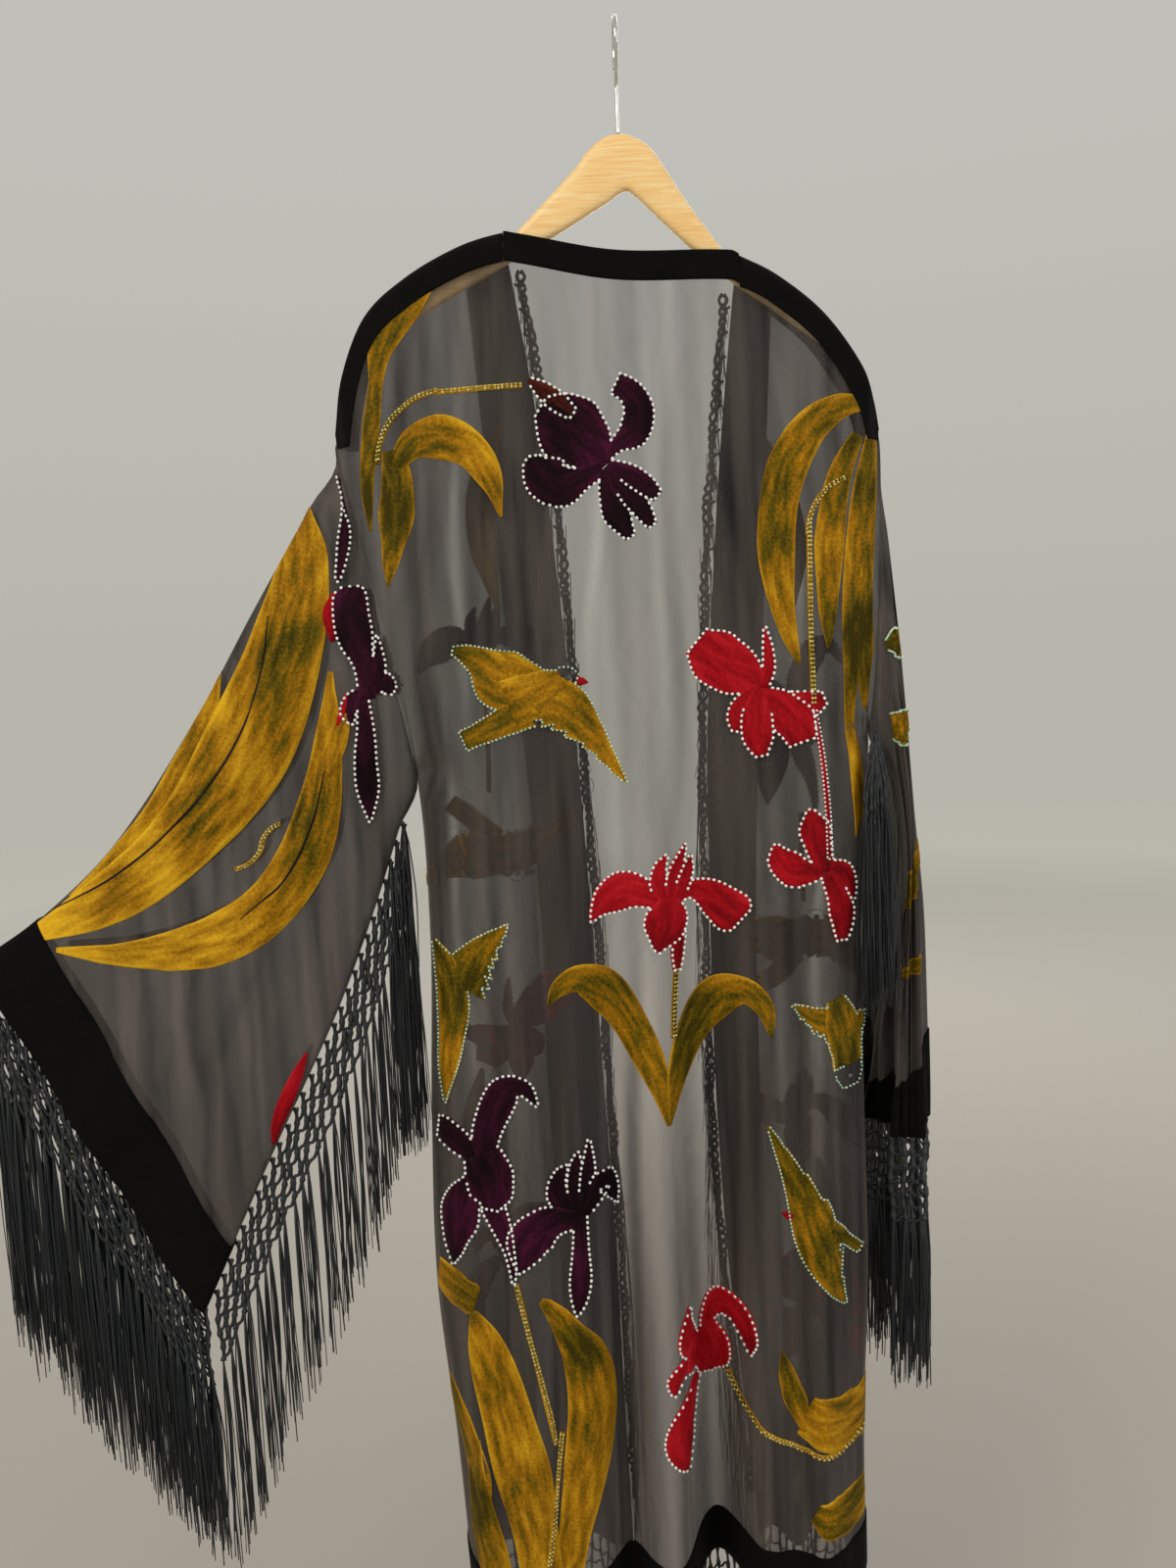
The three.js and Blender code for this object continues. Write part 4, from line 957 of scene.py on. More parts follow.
for side in ("left", "right"):
    place_of, count, _ = SLEEVES["sleeve_" + side]
    angles = turns(count)[:, None]
    start = CUFF_BAND + 0.012 * smooth(2 * np.sin(angles)) * (side == "left")
    grid = place_of(angles, mix(start, 1, spread(0, 1, 12)[None, :]))
    made_bands["cuff_band_" + side] = band(grid, ring_normals(grid), True)
for name, made in made_bands.items():
    # The front edges are faced with doubled chiffon, the other edges with velvet
    doubled = name.startswith("front_band")
    cloth_name, material = ("chiffon", chiffon) if doubled else ("velvet", velvet)
    make(f"{name}_{cloth_name}", made, material, [name])

# Flowers, leaves and birds
# A motif is velvet left standing on the sheer ground. It is made of strips: petals, strap
# leaves and wings, each a table with a row for each station of its middle line. Leaves lie
# where they grow. A flower or bird is drawn about its middle, in hundredths of its size.


def strip(*rows, jag=0.0):
    """Stations of a strip: x, drop and half width. `jag` is how deep the feathers on its
    right edge are notched, or on its left edge if it is under 0."""
    stations = table("x drop half", *rows)
    steps = np.hypot(np.diff(stations["x"]), np.diff(stations["drop"]))
    return dict(stations, along=np.concatenate([[0], np.cumsum(steps)]), jag=jag)


side_iris = dict(
    standard=strip((3, 3, 6), (-8, -10, 20), (-20, -22, 26), (-33, -34, 22), (-44, -42, 8)),
    curl=strip((2, 0, 3), (13, -12, 6), (25, -20, 12), (30, -36, 11), (24, -50, 10), (13, -57, 8)),
    wing=strip((0, 5, 6), (-16, 13, 9), (-31, 17, 17), (-43, 10, 17), (-50, 0, 11), (-51, -6, 5)),
    fall_low=strip((2, 6, 4), (5, 24, 8), (11, 42, 10), (20, 58, 4)),
    fall_mid=strip((4, 4, 3), (16, 20, 7), (27, 34, 8), (37, 50, 4)),
    fall_high=strip((5, 2, 3), (18, 9, 7), (31, 18, 8), (42, 28, 5)),
)
open_iris = dict(
    left=strip((-1, 0, 5), (-14, -8, 10), (-30, -13, 15), (-46, -6, 14), (-57, 4, 6), (-62, 12, 1)),
    right=strip((4, 0, 4), (18, -9, 7), (32, -6, 12), (45, 3, 17), (56, 12, 17), (61, 16, 12)),
    spear_left=strip((-1, 0, 4), (-6, -16, 7), (-5, -30, 5), (1, -40, 1)),
    spear_mid=strip((3, 0, 4), (5, -18, 6), (10, -32, 5), (17, -47, 1)),
    spear_right=strip((6, 0, 4), (13, -14, 6), (18, -26, 5), (21, -38, 1)),
    tail=strip((6, 10, 8), (8, 28, 6), (7, 42, 5), (6, 56, 3)),
    beard=strip((2, -5, 7), (0, 10, 17), (-4, 24, 15), (-8, 34, 6), (-9, 39, 1)),
)
tall_iris = dict(
    side=strip((-8, 4, 6), (-18, 24, 13), (-24, 46, 15), (-28, 68, 9), (-30, 86, 1)),
    shoulder=strip((-8, -14, 6), (-18, -24, 11), (-28, -30, 13), (-37, -32, 11)),
    stalk=strip((4, 24, 11), (12, 46, 9), (18, 66, 5), (21, 84, 3), (21, 97, 1)),
    hood=strip((2, -10, 8), (4, -32, 12), (12, -54, 14), (24, -71, 12), (36, -72, 7), (46, -55, 1)),
    beard=strip((0, -16, 16), (5, 2, 20), (6, 20, 17), (4, 33, 7)),
)
spear_iris = dict(
    first=strip((-2, 2, 4), (-14, -12, 11), (-17, -28, 9), (-7, -45, 1)),
    second=strip((0, 0, 3), (-2, -26, 6), (0, -44, 5), (2, -57, 1)),
    third=strip((3, 0, 3), (8, -26, 6), (10, -46, 5), (11, -66, 1)),
    fourth=strip((5, 0, 4), (15, -16, 9), (22, -26, 10), (29, -14, 8), (34, 2, 1)),
    wing=strip((0, 4, 7), (-16, 6, 12), (-32, 10, 19), (-44, 22, 19), (-50, 38, 9), (-52, 48, 1)),
    fall=strip((2, 0, 5), (1, 28, 6), (0, 54, 8), (-2, 76, 7), (-4, 92, 1)),
)
nodding_iris = dict(
    left=strip((0, 0, 5), (-12, -9, 16), (-28, -19, 22), (-42, -30, 20), (-51, -38, 13)),
    spike=strip((0, 0, 4), (5, -14, 5), (5, -30, 4), (3, -47, 1)),
    leaflet=strip((-2, 0, 4), (-12, 10, 8), (-20, 22, 9), (-22, 34, 3)),
    high=strip((6, 10, 5), (22, 14, 10), (36, 14, 10), (47, 10, 6)),
    right=strip((2, 4, 5), (13, 14, 13), (23, 27, 16), (30, 44, 10)),
    fall=strip((-1, 0, 5), (-5, 20, 11), (-5, 38, 12), (-3, 54, 5)),
)
leaning_iris = dict(
    spike=strip((-8, 0, 4), (-18, -16, 8), (-20, -32, 6), (-16, -47, 1)),
    thumb=strip((-10, 4, 4), (-22, 0, 8), (-31, 6, 7), (-32, 18, 2)),
    leaflet=strip((-10, 26, 4), (-22, 42, 11), (-28, 62, 13), (-25, 82, 8), (-22, 95, 1)),
    hood=strip((0, -6, 5), (3, -24, 9), (14, -38, 13), (28, -36, 12), (36, -20, 7), (38, -4, 1)),
    beard=strip((-5, -16, 13), (0, 0, 21), (4, 16, 19), (-2, 31, 8)),
)
bud = dict(bud=strip((0, 0, 2), (11, 9, 7), (26, 22, 9), (38, 32, 5)))
sleeve_iris = dict(
    bar=strip((-12, -172, 2), (-14, -146, 5), (-18, -116, 4), (-20, -84, 1)),
    left=strip((-2, 5, 4), (-9, 10, 6), (-13, 20, 7), (-10, 30, 2)),
    right=strip((0, 2, 5), (7, -2, 8), (13, 0, 8), (18, 4, 5)),
    twig=strip((2, 0, 3), (6, -16, 5), (6, -30, 4), (5, -40, 1)),
    low=strip((-2, 10, 3), (-1, 36, 6), (-2, 62, 9), (-2, 88, 8), (-2, 110, 1)),
    high=strip((0, 10, 4), (-3, -16, 5), (-9, -38, 10), (-12, -58, 11), (-12, -74, 9), (-12, -80, 5)),
)
# Drawn where it hangs, in millimetres
stalk = dict(stalk=strip((136, 526, 1.2), (142, 570, 1.8), (145, 610, 2.0), (146, 646, 2.4)))
hanging_iris = dict(
    flag=strip((140, 656, 4), (130, 656, 9), (117, 654, 14), (107, 644, 11), (103, 633, 2)),
    hood=strip((142, 656, 6), (137, 636, 10), (134, 619, 11), (131, 605, 2)),
    side=strip((146, 652, 5), (157, 656, 7), (163, 668, 6), (166, 682, 2)),
    low=strip((144, 656, 7), (151, 675, 9), (156, 695, 11), (155, 714, 5)),
)
bird = dict(
    head=strip((24, -17, 8), (31.5, -17.2, 8), (38, -15, 5)),
    wing_up=strip((12, -5, 16), (-20, -18, 24), (-37, -32, 13), (-49, -39, 7), (-58, -42, 3)),
    tail=strip((-2, 6, 15), (-28, 19, 10), (-53, 29, 8)),
    wing_low=strip((0, -4, 19), (26, 6, 21), (46, 27, 13), (61, 48, 7), (75, 68, 1), jag=0.28),
    breast=strip((-16, 2, 20), (6, -6, 17), (18, -12, 13), (27, -16, 8)),
    beak=strip((38, -15, 3), (43, -13.5, 2.8), (47, -12.5, 0.5)),
)
diving_bird = dict(
    tail=strip((8, 6, 10), (24, 20, 6), (42, 37, 4)),
    wings=strip((-34, -78, 1), (-21, -50, 7), (-9, -25, 13), (2, 5, 19), (9, 35, 16), (18, 62, 8),
                (27, 80, 1), jag=-0.22),
    beak=strip((-15, 2, 3), (-20, 0, 2.8), (-24, -2, 0.5)),
)
# Two birds that the side seams cut, drawn where they lie
left_side_bird = dict(
    wing=strip((-152, 738, 22), (-140, 718, 18), (-127, 702, 10), (-112, 687, 1), jag=0.4),
    body=strip((-174, 702, 2), (-166, 716, 9), (-160, 745, 13), (-163, 780, 11), (-168, 810, 7),
               (-171, 836, 1)),
)
right_side_bird = dict(
    wing=strip((152, 788, 14), (139, 780, 13), (127, 773, 8), (114, 765, 1), jag=-0.4),
    feathers=strip((158, 800, 8), (168, 790, 9), (175, 780, 5), jag=0.4),
    head=strip((158, 820, 13), (160, 829, 12), (161, 838, 7)),
    body=strip((149, 762, 8), (153, 780, 14), (157, 800, 15), (159, 820, 13)),
)

# Flowers and birds: form and colour, and then, where they aren't drawn in place, their
# middle, size, turn in degrees and whether they are mirrored
back_figures = [
    (bud, "brown", -77, 262, 88),
    (side_iris, "plum", -23, 327, 103),
    (nodding_iris, "red", 97, 508, 100),
    (stalk, "red"),
    (hanging_iris, "red"),
    (open_iris, "red", 15, 678, 100),
    (tall_iris, "plum", -142, 891, 98),
    (spear_iris, "plum", -67, 931, 94),
    (leaning_iris, "red", 38, 1077, 98),
    (bird, "gold", -88, 511, 100),
    (left_side_bird, "gold"),
    (right_side_bird, "gold"),
    (diving_bird, "gold", 126, 945, 100),
]
back_leaves = [
    strip((-158, 176, 14), (-173, 197, 15), (-186, 216, 13), (-195, 233, 10), (-199, 256, 6),
          (-205, 293, 7), (-210, 333, 6), (-209, 372, 1)),
    strip((-188, 310, 8), (-185, 335, 13), (-187, 364, 14), (-192, 392, 8), (-196, 416, 1)),
    strip((-186, 322, 6), (-170, 306, 13), (-148, 303, 17), (-125, 314, 15), (-110, 338, 9),
          (-103, 367, 1)),
    strip((196, 308, 5), (186, 360, 11), (178, 420, 13), (172, 480, 10), (168, 530, 5), (171, 575, 5),
          (174, 602, 6), (171, 632, 1)),
    strip((182, 312, 5), (165, 345, 10), (155, 390, 12), (151, 440, 9), (150, 480, 1)),
    strip((192, 288, 4), (168, 290, 10), (141, 308, 14), (121, 342, 16), (112, 388, 15), (113, 432, 11),
          (119, 466, 7), (126, 490, 1)),
    strip((10, 862, 1), (3, 825, 9), (-13, 785, 15), (-35, 750, 16), (-58, 735, 12), (-75, 743, 7),
          (-84, 757, 1)),
    strip((11, 862, 1), (19, 825, 9), (34, 788, 15), (56, 760, 16), (77, 754, 12), (92, 768, 8),
          (97, 792, 1)),
    strip((-188, 994, 15), (-176, 996, 17), (-160, 1000, 15), (-154, 1002, 12)),
    strip((-184, 1088, 1), (-176, 1112, 9), (-165, 1140, 11), (-158, 1180, 8), (-156, 1210, 1)),
    strip((-158, 1126, 1), (-162, 1160, 8), (-158, 1205, 13), (-150, 1250, 16), (-142, 1292, 14)),
    strip((-157, 1010, 2), (-148, 1040, 15), (-136, 1088, 22), (-124, 1150, 23), (-114, 1215, 19),
          (-107, 1288, 11)),
    strip((-101, 1002, 2), (-84, 1024, 11), (-67, 1056, 18), (-62, 1104, 21), (-70, 1160, 18),
          (-82, 1215, 14), (-92, 1286, 7)),
    strip((99, 1066, 1), (104, 1090, 8), (111, 1114, 9), (118, 1138, 3)),
    strip((118, 1122, 20), (134, 1128, 24), (154, 1133, 25), (175, 1134, 25)),
    strip((178, 1218, 19), (160, 1218, 20), (140, 1216, 19), (124, 1210, 11)),
    strip((187, 396, 1), (185, 420, 5), (183, 455, 7), (182, 490, 7), (182, 516, 4), (183, 530, 1)),
]
# Stems sewn with two rows of beads: start, heading in degrees (0 to the wearer's right,
# 90 down), how far it turns, and length
STEM = "x drop heading bend length"
back_stems = table(
    STEM,
    (-82, 266, 180, -4, 68),
    (-148, 267, 178, -86, 82),
    (170, 346, 164, -74, 60),
    (138, 380, 92, -2, 146),
    (21, 732, 96, -4, 58),
    (-120, 986, 78, 4, 150),
    (-88, 1122, 97, 3, 130),
    (57, 1104, 68, -92, 138),
)
left_front_figures = [
    (open_iris, "plum", -128, 470, 88, -8),
    (bird, "gold", -128, 640, 88, 200, True),
    (nodding_iris, "red", -118, 800, 92, 0, True),
    (leaning_iris, "red", -132, 1010, 90, 10),
]
left_front_leaves = [
    strip((-104, 290, 2), (-118, 325, 10), (-124, 370, 12), (-118, 412, 7), (-112, 440, 1)),
    strip((-150, 845, 2), (-158, 885, 10), (-156, 930, 9), (-148, 962, 1)),
    strip((-140, 1090, 2), (-130, 1130, 13), (-132, 1180, 14), (-142, 1235, 1)),
]
left_stems = table(STEM, (-128, 512, 88, 6, 80), (-136, 1070, 84, 8, 60))
right_front_figures = [
    (tall_iris, "plum", 134, 540, 84),
    (bird, "gold", 132, 740, 86, -20),
    (open_iris, "plum", 132, 900, 86, -6),
    (side_iris, "red", 138, 1080, 88, 8, True),
]
right_front_leaves = [
    strip((112, 310, 2), (126, 350, 10), (134, 395, 12), (130, 440, 7), (124, 470, 1)),
    strip((152, 945, 2), (158, 985, 9), (154, 1025, 8), (148, 1052, 1)),
    strip((120, 1140, 2), (128, 1180, 13), (122, 1225, 11), (114, 1256, 1)),
]
right_stems = table(STEM, (140, 622, 92, -6, 80), (134, 948, 88, 6, 70))
sleeve_figures = [
    (sleeve_iris, "plum", -221, 495, 100),
]
sleeve_leaves = [
    strip((-337, 476, 1), (-346, 504, 6), (-367, 543, 9), (-400, 591, 9), (-434, 625, 6), (-476, 658, 1)),
    strip((-248, 482, 2), (-252, 530, 10), (-262, 585, 17), (-282, 636, 21), (-318, 678, 22),
          (-366, 702, 19), (-424, 709, 13), (-490, 702, 2)),
    strip((-263, 348, 2), (-265, 385, 17), (-274, 432, 27), (-292, 486, 33), (-318, 538, 35),
          (-354, 588, 32), (-402, 634, 26), (-456, 667, 18), (-516, 692, 5)),
]
sleeve_stems = table(STEM, (-296, 604, 168, -70, 30), (-313, 621, 110, 62, 34))
# Veins burnt out of the leaves, where the dark ground shows, and loose petals
sleeve_details = [
    ("ground", strip((-296, 436, 0.4), (-303, 480, 0.9), (-320, 524, 1.0), (-350, 568, 1.0),
                     (-392, 610, 1.0), (-440, 644, 0.9), (-490, 668, 0.4))),
    ("ground", strip((-256, 560, 0.4), (-270, 605, 0.9), (-296, 650, 0.9), (-335, 682, 0.4))),
    ("red", strip((-242, 420, 2), (-247, 436, 5), (-245, 458, 2))),
    ("red", strip((-236, 500, 1), (-238, 514, 4), (-244, 526, 2))),
    ("gold", strip((-236, 516, 3), (-243, 532, 8), (-250, 550, 8), (-254, 566, 3))),
    ("red", strip((-290, 800, 1), (-299, 818, 4.5), (-310, 840, 6), (-320, 862, 4.5), (-325, 880, 1))),
]
# The right sleeve is laid out flat: x round it, with the back of the arm below 0
right_sleeve_leaves = [
    strip((-290, 195, 12), (-240, 224, 16), (-176, 260, 17), (-113, 286, 15), (-60, 308, 8)),
    strip((-250, 310, 3), (-186, 340, 7), (-127, 364, 7), (-80, 380, 2)),
    strip((60, 120, 2), (84, 160, 13), (96, 220, 15), (88, 290, 11), (72, 350, 1)),
    strip((150, 110, 2), (132, 150, 12), (128, 210, 14), (142, 275, 10), (160, 320, 1)),
]
sleeve_wing = dict(wing=strip((-192, 40, 3), (-168, 62, 8), (-131, 94, 9), (-100, 112, 7), (-82, 122, 2)))
sleeve_tail = dict(tail=strip((-249, 62, 10), (-212, 95, 11), (-176, 125, 11), (-140, 149, 8),
                              (-112, 165, 3)))
right_sleeve_figures = [
    (sleeve_wing, "gold"),
    (sleeve_tail, "gold"),
    (open_iris, "red", 110, 386, 84),
]
right_sleeve_stems = table(STEM, (116, 430, 88, 6, 60))


def reached(value_of, wanted, low, high):
    """Where a growing function reaches a value, by halving the stretch 32 times."""
    low, high = (np.full(np.shape(wanted), end, float) for end in (low, high))
    for _ in range(32):
        middle = (low + high) / 2
        under = value_of(middle) < wanted
        low, high = np.where(under, middle, low), np.where(under, high, middle)
    return (low + high) / 2


def on_panel(name):
    """Places of a panel that lie at an x and a drop."""
    def place(x, drop):
        """A place of this panel in space."""
        u = reached(lambda at: panel_x(name, at, drop), x, *PANELS[name]["span"])
        return panel_point(name, u, np.maximum(drop - top_drop(u), 1.0))

    return place


FOLD_SHARE = 0.004          # how near a motif comes to the left sleeve's folds


def on_left_sleeve(side):
    """Places of one side of the left sleeve that lie at an x and a drop."""
    def place(x, drop):
        """A place of this side in space."""
        def passed(t):
            """How far the place lies past the sleeve's section at t."""
            wide = left_cut["low_x"](t) - left_cut["up_x"](t)
            deep = left_cut["low_drop"](t) - left_cut["up_drop"](t)
            return deep * (x - left_cut["up_x"](t)) - wide * (drop - left_cut["up_drop"](t))

        t = reached(passed, np.zeros(np.shape(x)), 0.0, 1.0)
        deep = left_cut["low_drop"](t) - left_cut["up_drop"](t)
        share = np.clip((drop - left_cut["up_drop"](t)) / deep, FOLD_SHARE, 1 - FOLD_SHARE)
        return left_sleeve_point(side * np.arccos(1 - 2 * share), t)

    return place


RIGHT_ROUND, RIGHT_LONG = 111.0, 520.0      # the right sleeve laid out: radius and length
RIGHT_MIDDLE = (218, 50, 0)


def on_right_sleeve(x, drop):
    """Places of the right sleeve laid out flat: x round it, drop along it."""
    return right_sleeve_point(x / RIGHT_ROUND, drop / RIGHT_LONG)


SURFACES = {
    "back": (on_panel("back"), (0, -1, 0)),
    "front_left": (on_panel("front_left"), (0, 1, 0)),
    "front_right": (on_panel("front_right"), (0, 1, 0)),
    "sleeve_left_back": (on_left_sleeve(-1), (0, -1, 0)),
    "sleeve_left_front": (on_left_sleeve(1), (0, 1, 0)),
    "sleeve_right": (on_right_sleeve, None),
}
CELL = 4.0                  # about how long and wide one face of a strip is
LEAF_LIFT = 0.7             # how far a leaf's pile stands over the cloth's middle
FIGURE_LIFT = 1.2           # the same for a flower or a bird, which lies over the leaves
LAYER = 0.12                # more for each strip over the last
CROWN = 0.3                 # more along the middle of a strip
BEAD_SEAT = 0.5             # from a figure's uppermost pile to the middle of its beads
LEAF_RUFFLE, PETAL_RUFFLE = 0.09, 0.05
FEATHERS = 7                # along a notched edge
STEM_STEPS, STEM_HALF = 9, 2.0
PAINTED_LIGHT_SPAN = (-270, 240)        # from this x, over this width, painted light brightens the pile


def strip_plan(stations, ruffle=0.0):
    """Flat places of a strip: its middle line and half width go smoothly through the
    stations, and rows of places cross it at right angles. Both edges may ruffle softly,
    and one may be notched as feathers are."""
    length, jag = stations["along"][-1], stations["jag"]
    steps = int(np.clip(length / CELL * (3 if jag else 1), 10, 110))
    at = spread(0, length, steps)
    x, drop, half = (curve(stations, "along", name)(at) for name in ("x", "drop", "half"))
    s = at / length
    half = np.maximum(half * (1 + ruffle * np.sin(5 * math.pi * s + x[0]) * s), 0.15)
    heading = np.arctan2(np.gradient(drop), np.gradient(x))
    v = spread(-1, 1, 2 * int(np.clip(np.max(half) / CELL, 2, 9)) + 1)
    notched = 1 - abs(jag) * ((FEATHERS * s) % 1)[:, None] * np.maximum(np.sign(jag) * v, 0)
    across = half[:, None] * v[None, :] * notched
    plan_x = x[:, None] - across * np.sin(heading)[:, None]
    plan_drop = drop[:, None] + across * np.cos(heading)[:, None]
    rim = np.abs(v)[None, :] + 0 * across
    return plan_x, plan_drop, dict(blade=np.stack([across, at[:, None] + 0 * across], axis=-1), rim=rim)


def stem_strip(x, drop, heading, bend, length):
    """Stations of a stem: an arc of a circle."""
    angle = np.radians(heading + bend * (spread(0, 1, STEM_STEPS) - 0.5 / STEM_STEPS))
    rows = np.stack([np.cos(angle), np.sin(angle)], axis=1) * length / (STEM_STEPS - 1)
    rows[0] = (x, drop)
    places = np.cumsum(rows, axis=0)
    return strip(*((*place, STEM_HALF) for place in places))


def placed(stations, x=0, drop=0, size=100, turn=0, mirrored=False):
    """Stations of a petal or wing at its flower's or bird's place, size and turn."""
    scale = size / 100
    c, s = math.cos(math.radians(turn)) * scale, math.sin(math.radians(turn)) * scale
    flip = -1 if mirrored else 1
    own_x, own_drop = stations["x"] * flip, stations["drop"]
    return dict(x=x + own_x * c - own_drop * s, drop=drop + own_x * s + own_drop * c,
                half=stations["half"] * scale, along=stations["along"] * scale, jag=stations["jag"] * flip)


def facing_of(points, facing):
    """Outward side of a surface: one direction, or away from the right sleeve's middle."""
    return np.array(facing, float) if facing else (points - RIGHT_MIDDLE) * (1, 1, 0)


def velvet_strip(surface, plan, lift):
    """A strip as a pile on the cloth that stands up by `lift`, more along its middle. It
    carries painted light, brighter and brighter out along the raised sleeve."""
    place_of, facing = SURFACES[surface]
    plan_x, plan_drop, attributes = plan
    points = place_of(plan_x, plan_drop)
    crown = CROWN * (1 - attributes["rim"] ** 2)
    normals = normals_of(points, facing=facing_of(points, facing))
    # Painted light on the left sleeve's figures
    lean = smooth((PAINTED_LIGHT_SPAN[0] - plan_x) / PAINTED_LIGHT_SPAN[1]) * surface.startswith("sleeve_left")
    return wall(points, normals, 0.0, lift + crown, lean=lean, **attributes)


BEAD_SIDES = 6
bead_rings = table("along wide", (-0.5, 0.36), (-0.3, 0.5), (0.3, 0.5), (0.5, 0.36))


def beads(points, tangents, normals, size):
    """Small barrels along a thread: rings of points about each one's own axis."""
    other = np.cross(tangents, normals)
    angle = turns(BEAD_SIDES)
    ring_of = np.cos(angle)[:, None] * normals[:, None] + np.sin(angle)[:, None] * other[:, None]
    rings = [tangents[:, None] * along + ring_of * wide for along, wide in zip(*bead_rings.values())]
    return rods(points[:, None, None] + size * np.stack(rings, axis=1))


def sewn_beads(surface, places, ahead, size, lift):
    """Beads at flat places of a surface, each along its thread, standing on the pile."""
    place_of, facing = SURFACES[surface]
    near = np.stack([places, ahead, places + (0.8, 0), places + (0, 0.8)], axis=0)
    here, there, across, down = place_of(near[..., 0], near[..., 1])
    out = unit(np.cross(across - here, down - here))
    if np.sum(out * facing_of(here[None], facing)) < 0:
        out = -out
    return beads(here + out * lift, unit(there - here), out, size)


def outline_of(plan):
    """Closed outline of a strip in the flat: one edge, the tip and the other edge."""
    plan_x, plan_drop, _ = plan
    grid = np.stack([plan_x, plan_drop], axis=-1)
    return np.concatenate([grid[:, 0], grid[-1, 1:], grid[-2::-1, -1]])


AHEAD = 0.6                 # how far ahead of a bead its thread is looked at


def stepped(line, pitch):
    """Places at an even pitch along a line in the flat, the places just ahead of them, and
    the share of the way there from the line's ends to its middle."""
    far = np.concatenate([[0], np.cumsum(np.hypot(*np.diff(line, axis=0).T))])
    at = (np.arange(max(int(far[-1] / pitch), 1)) + 0.5) * pitch
    here, ahead = (np.stack([np.interp(at + step, far, line[:, k]) for k in (0, 1)], axis=1)
                   for step in (0, AHEAD))
    return here, ahead, 1 - np.abs(2 * at / far[-1] - 1)


def within(ring, places):
    """Whether places lie inside a closed outline: a line to one side crosses it an odd
    number of times."""
    (x0, y0), (x1, y1) = ring.T[..., None], np.roll(ring, -1, axis=0).T[..., None]
    x, y = places.T
    spans = (y0 > y) != (y1 > y)
    crossing = x0 + (y - y0) * (x1 - x0) / np.where(spans, y1 - y0, 1)
    return np.sum(spans & (x < crossing), axis=0) % 2 == 1


ROOT_SHARE = 0.3            # of a petal's edge, from its ends, lies at the flower's root


def bead_outline(outlines, pitch, whole):
    """Beads round a flower or bird: along each outline, but not where a petal sewn over it
    hides it, nor at its root, where the petals grow together. If the form is `whole`, no
    bead lies inside it at all."""
    kept = []
    for level, line in enumerate(outlines):
        here, ahead, way = stepped(line, pitch)
        shown = np.ones(len(here), bool)
        for other, ring in enumerate(outlines):
            if other != level:
                shown &= ~(within(ring, here) & ((way < ROOT_SHARE) | (other > level) | whole))
        kept.append((here[shown], ahead[shown]))
    return (np.concatenate(places) for places in zip(*kept))


# Kind, pitch and size of the beads round a motif, and the size of a bird's eye
BEAD_ROWS = {
    "bird": ("green", 3.4, 1.8), "flower": ("white", 4.6, 2.3),
    "stalk": ("white", 3.4, 1.6), "stem": ("gold", 3.4, 1.9),
}
EYE = 4.6


def sew(surface, figures, leaves, stems, details=()):
    """All the motifs of one surface: shapes by colour, and beads by kind."""
    shapes = {colour: [] for colour in FIGURE_COLOURS}
    rows_of_beads = {kind: [] for kind in BEAD_COLOURS}
    for level, stations in enumerate(leaves):
        lift = LEAF_LIFT + LAYER * (level % 3)
        shapes["gold"].append(velvet_strip(surface, strip_plan(stations, ruffle=LEAF_RUFFLE), lift))
    for colour, stations in details:
        shapes[colour].append(velvet_strip(surface, strip_plan(stations), LEAF_LIFT + 5 * LAYER))
    for row in zip(*stems.values()):
        plan = strip_plan(stem_strip(*row))
        shapes["gold"].append(velvet_strip(surface, plan, LEAF_LIFT + 4 * LAYER))
        kind, pitch, size = BEAD_ROWS["stem"]
        for column in (1, -2):
            line = np.stack([plan[0][:, column], plan[1][:, column]], axis=1)
            here, ahead, _ = stepped(line, pitch)
            rows_of_beads[kind].append(sewn_beads(surface, here, ahead, size, size))
    for form, colour, *where in figures:
        kind, pitch, size = BEAD_ROWS["bird" if colour == "gold" else "stalk" if form is stalk else "flower"]
        lift = FIGURE_LIFT + LAYER * len(form) + BEAD_SEAT
        outlines = []
        for level, (name, petal) in enumerate(form.items()):
            petal = placed(petal, *where)
            plan = strip_plan(petal, ruffle=PETAL_RUFFLE)
            if name != "beak":
                outlines.append(outline_of(plan))
            if name == "head":
                eye = np.array([[petal["x"][1], petal["drop"][1]]])
                rows_of_beads["jet"].append(sewn_beads(surface, eye, eye + (AHEAD, 0), EYE, lift))
            else:
                own = "red" if name == "beak" else colour
                shapes[own].append(velvet_strip(surface, plan, FIGURE_LIFT + LAYER * level))
        here, ahead = bead_outline(outlines, pitch, colour == "gold")
        rows_of_beads[kind].append(sewn_beads(surface, here, ahead, size, lift))
    return shapes, rows_of_beads


# Hanger
wood_line = table(
    "x top low half",
    (-193, 196, 207, 3.5),
    (-189, 191.5, 211, 5.5),
    (-172, 179, 209.5, 6.5),
    (-150, 168.6, 199.5, 6.5),
    (-127, 159.4, 188.5, 6.5),
    (-105, 157, 178, 6.2),
    (-90, 155.5, 171, 6),
    (-78, 145, 165, 6),
    (-56, 125, 154.5, 6),
    (-32, 102, 142, 6),
    (-24, 92, 137.5, 6),
    (-10, 82.5, 130, 6),
    (0, 81, 123.5, 6),
    (7, 81.5, 122.5, 6),
    (22, 89.5, 136, 6),
    (32, 102, 145.5, 6),
    (50, 130, 162.5, 6),
    (67, 153, 177, 6),
    (81, 171, 188, 6),
    (95, 181, 198, 6),
    (118, 190, 213, 6.2),
    (140, 204.6, 228, 6.5),
    (157, 218.6, 239, 6.5),
    (172, 235.5, 249.5, 6),
    (181, 248, 256, 4.5),
)
WOOD_SECTIONS, WOOD_SIDES = 140, 28
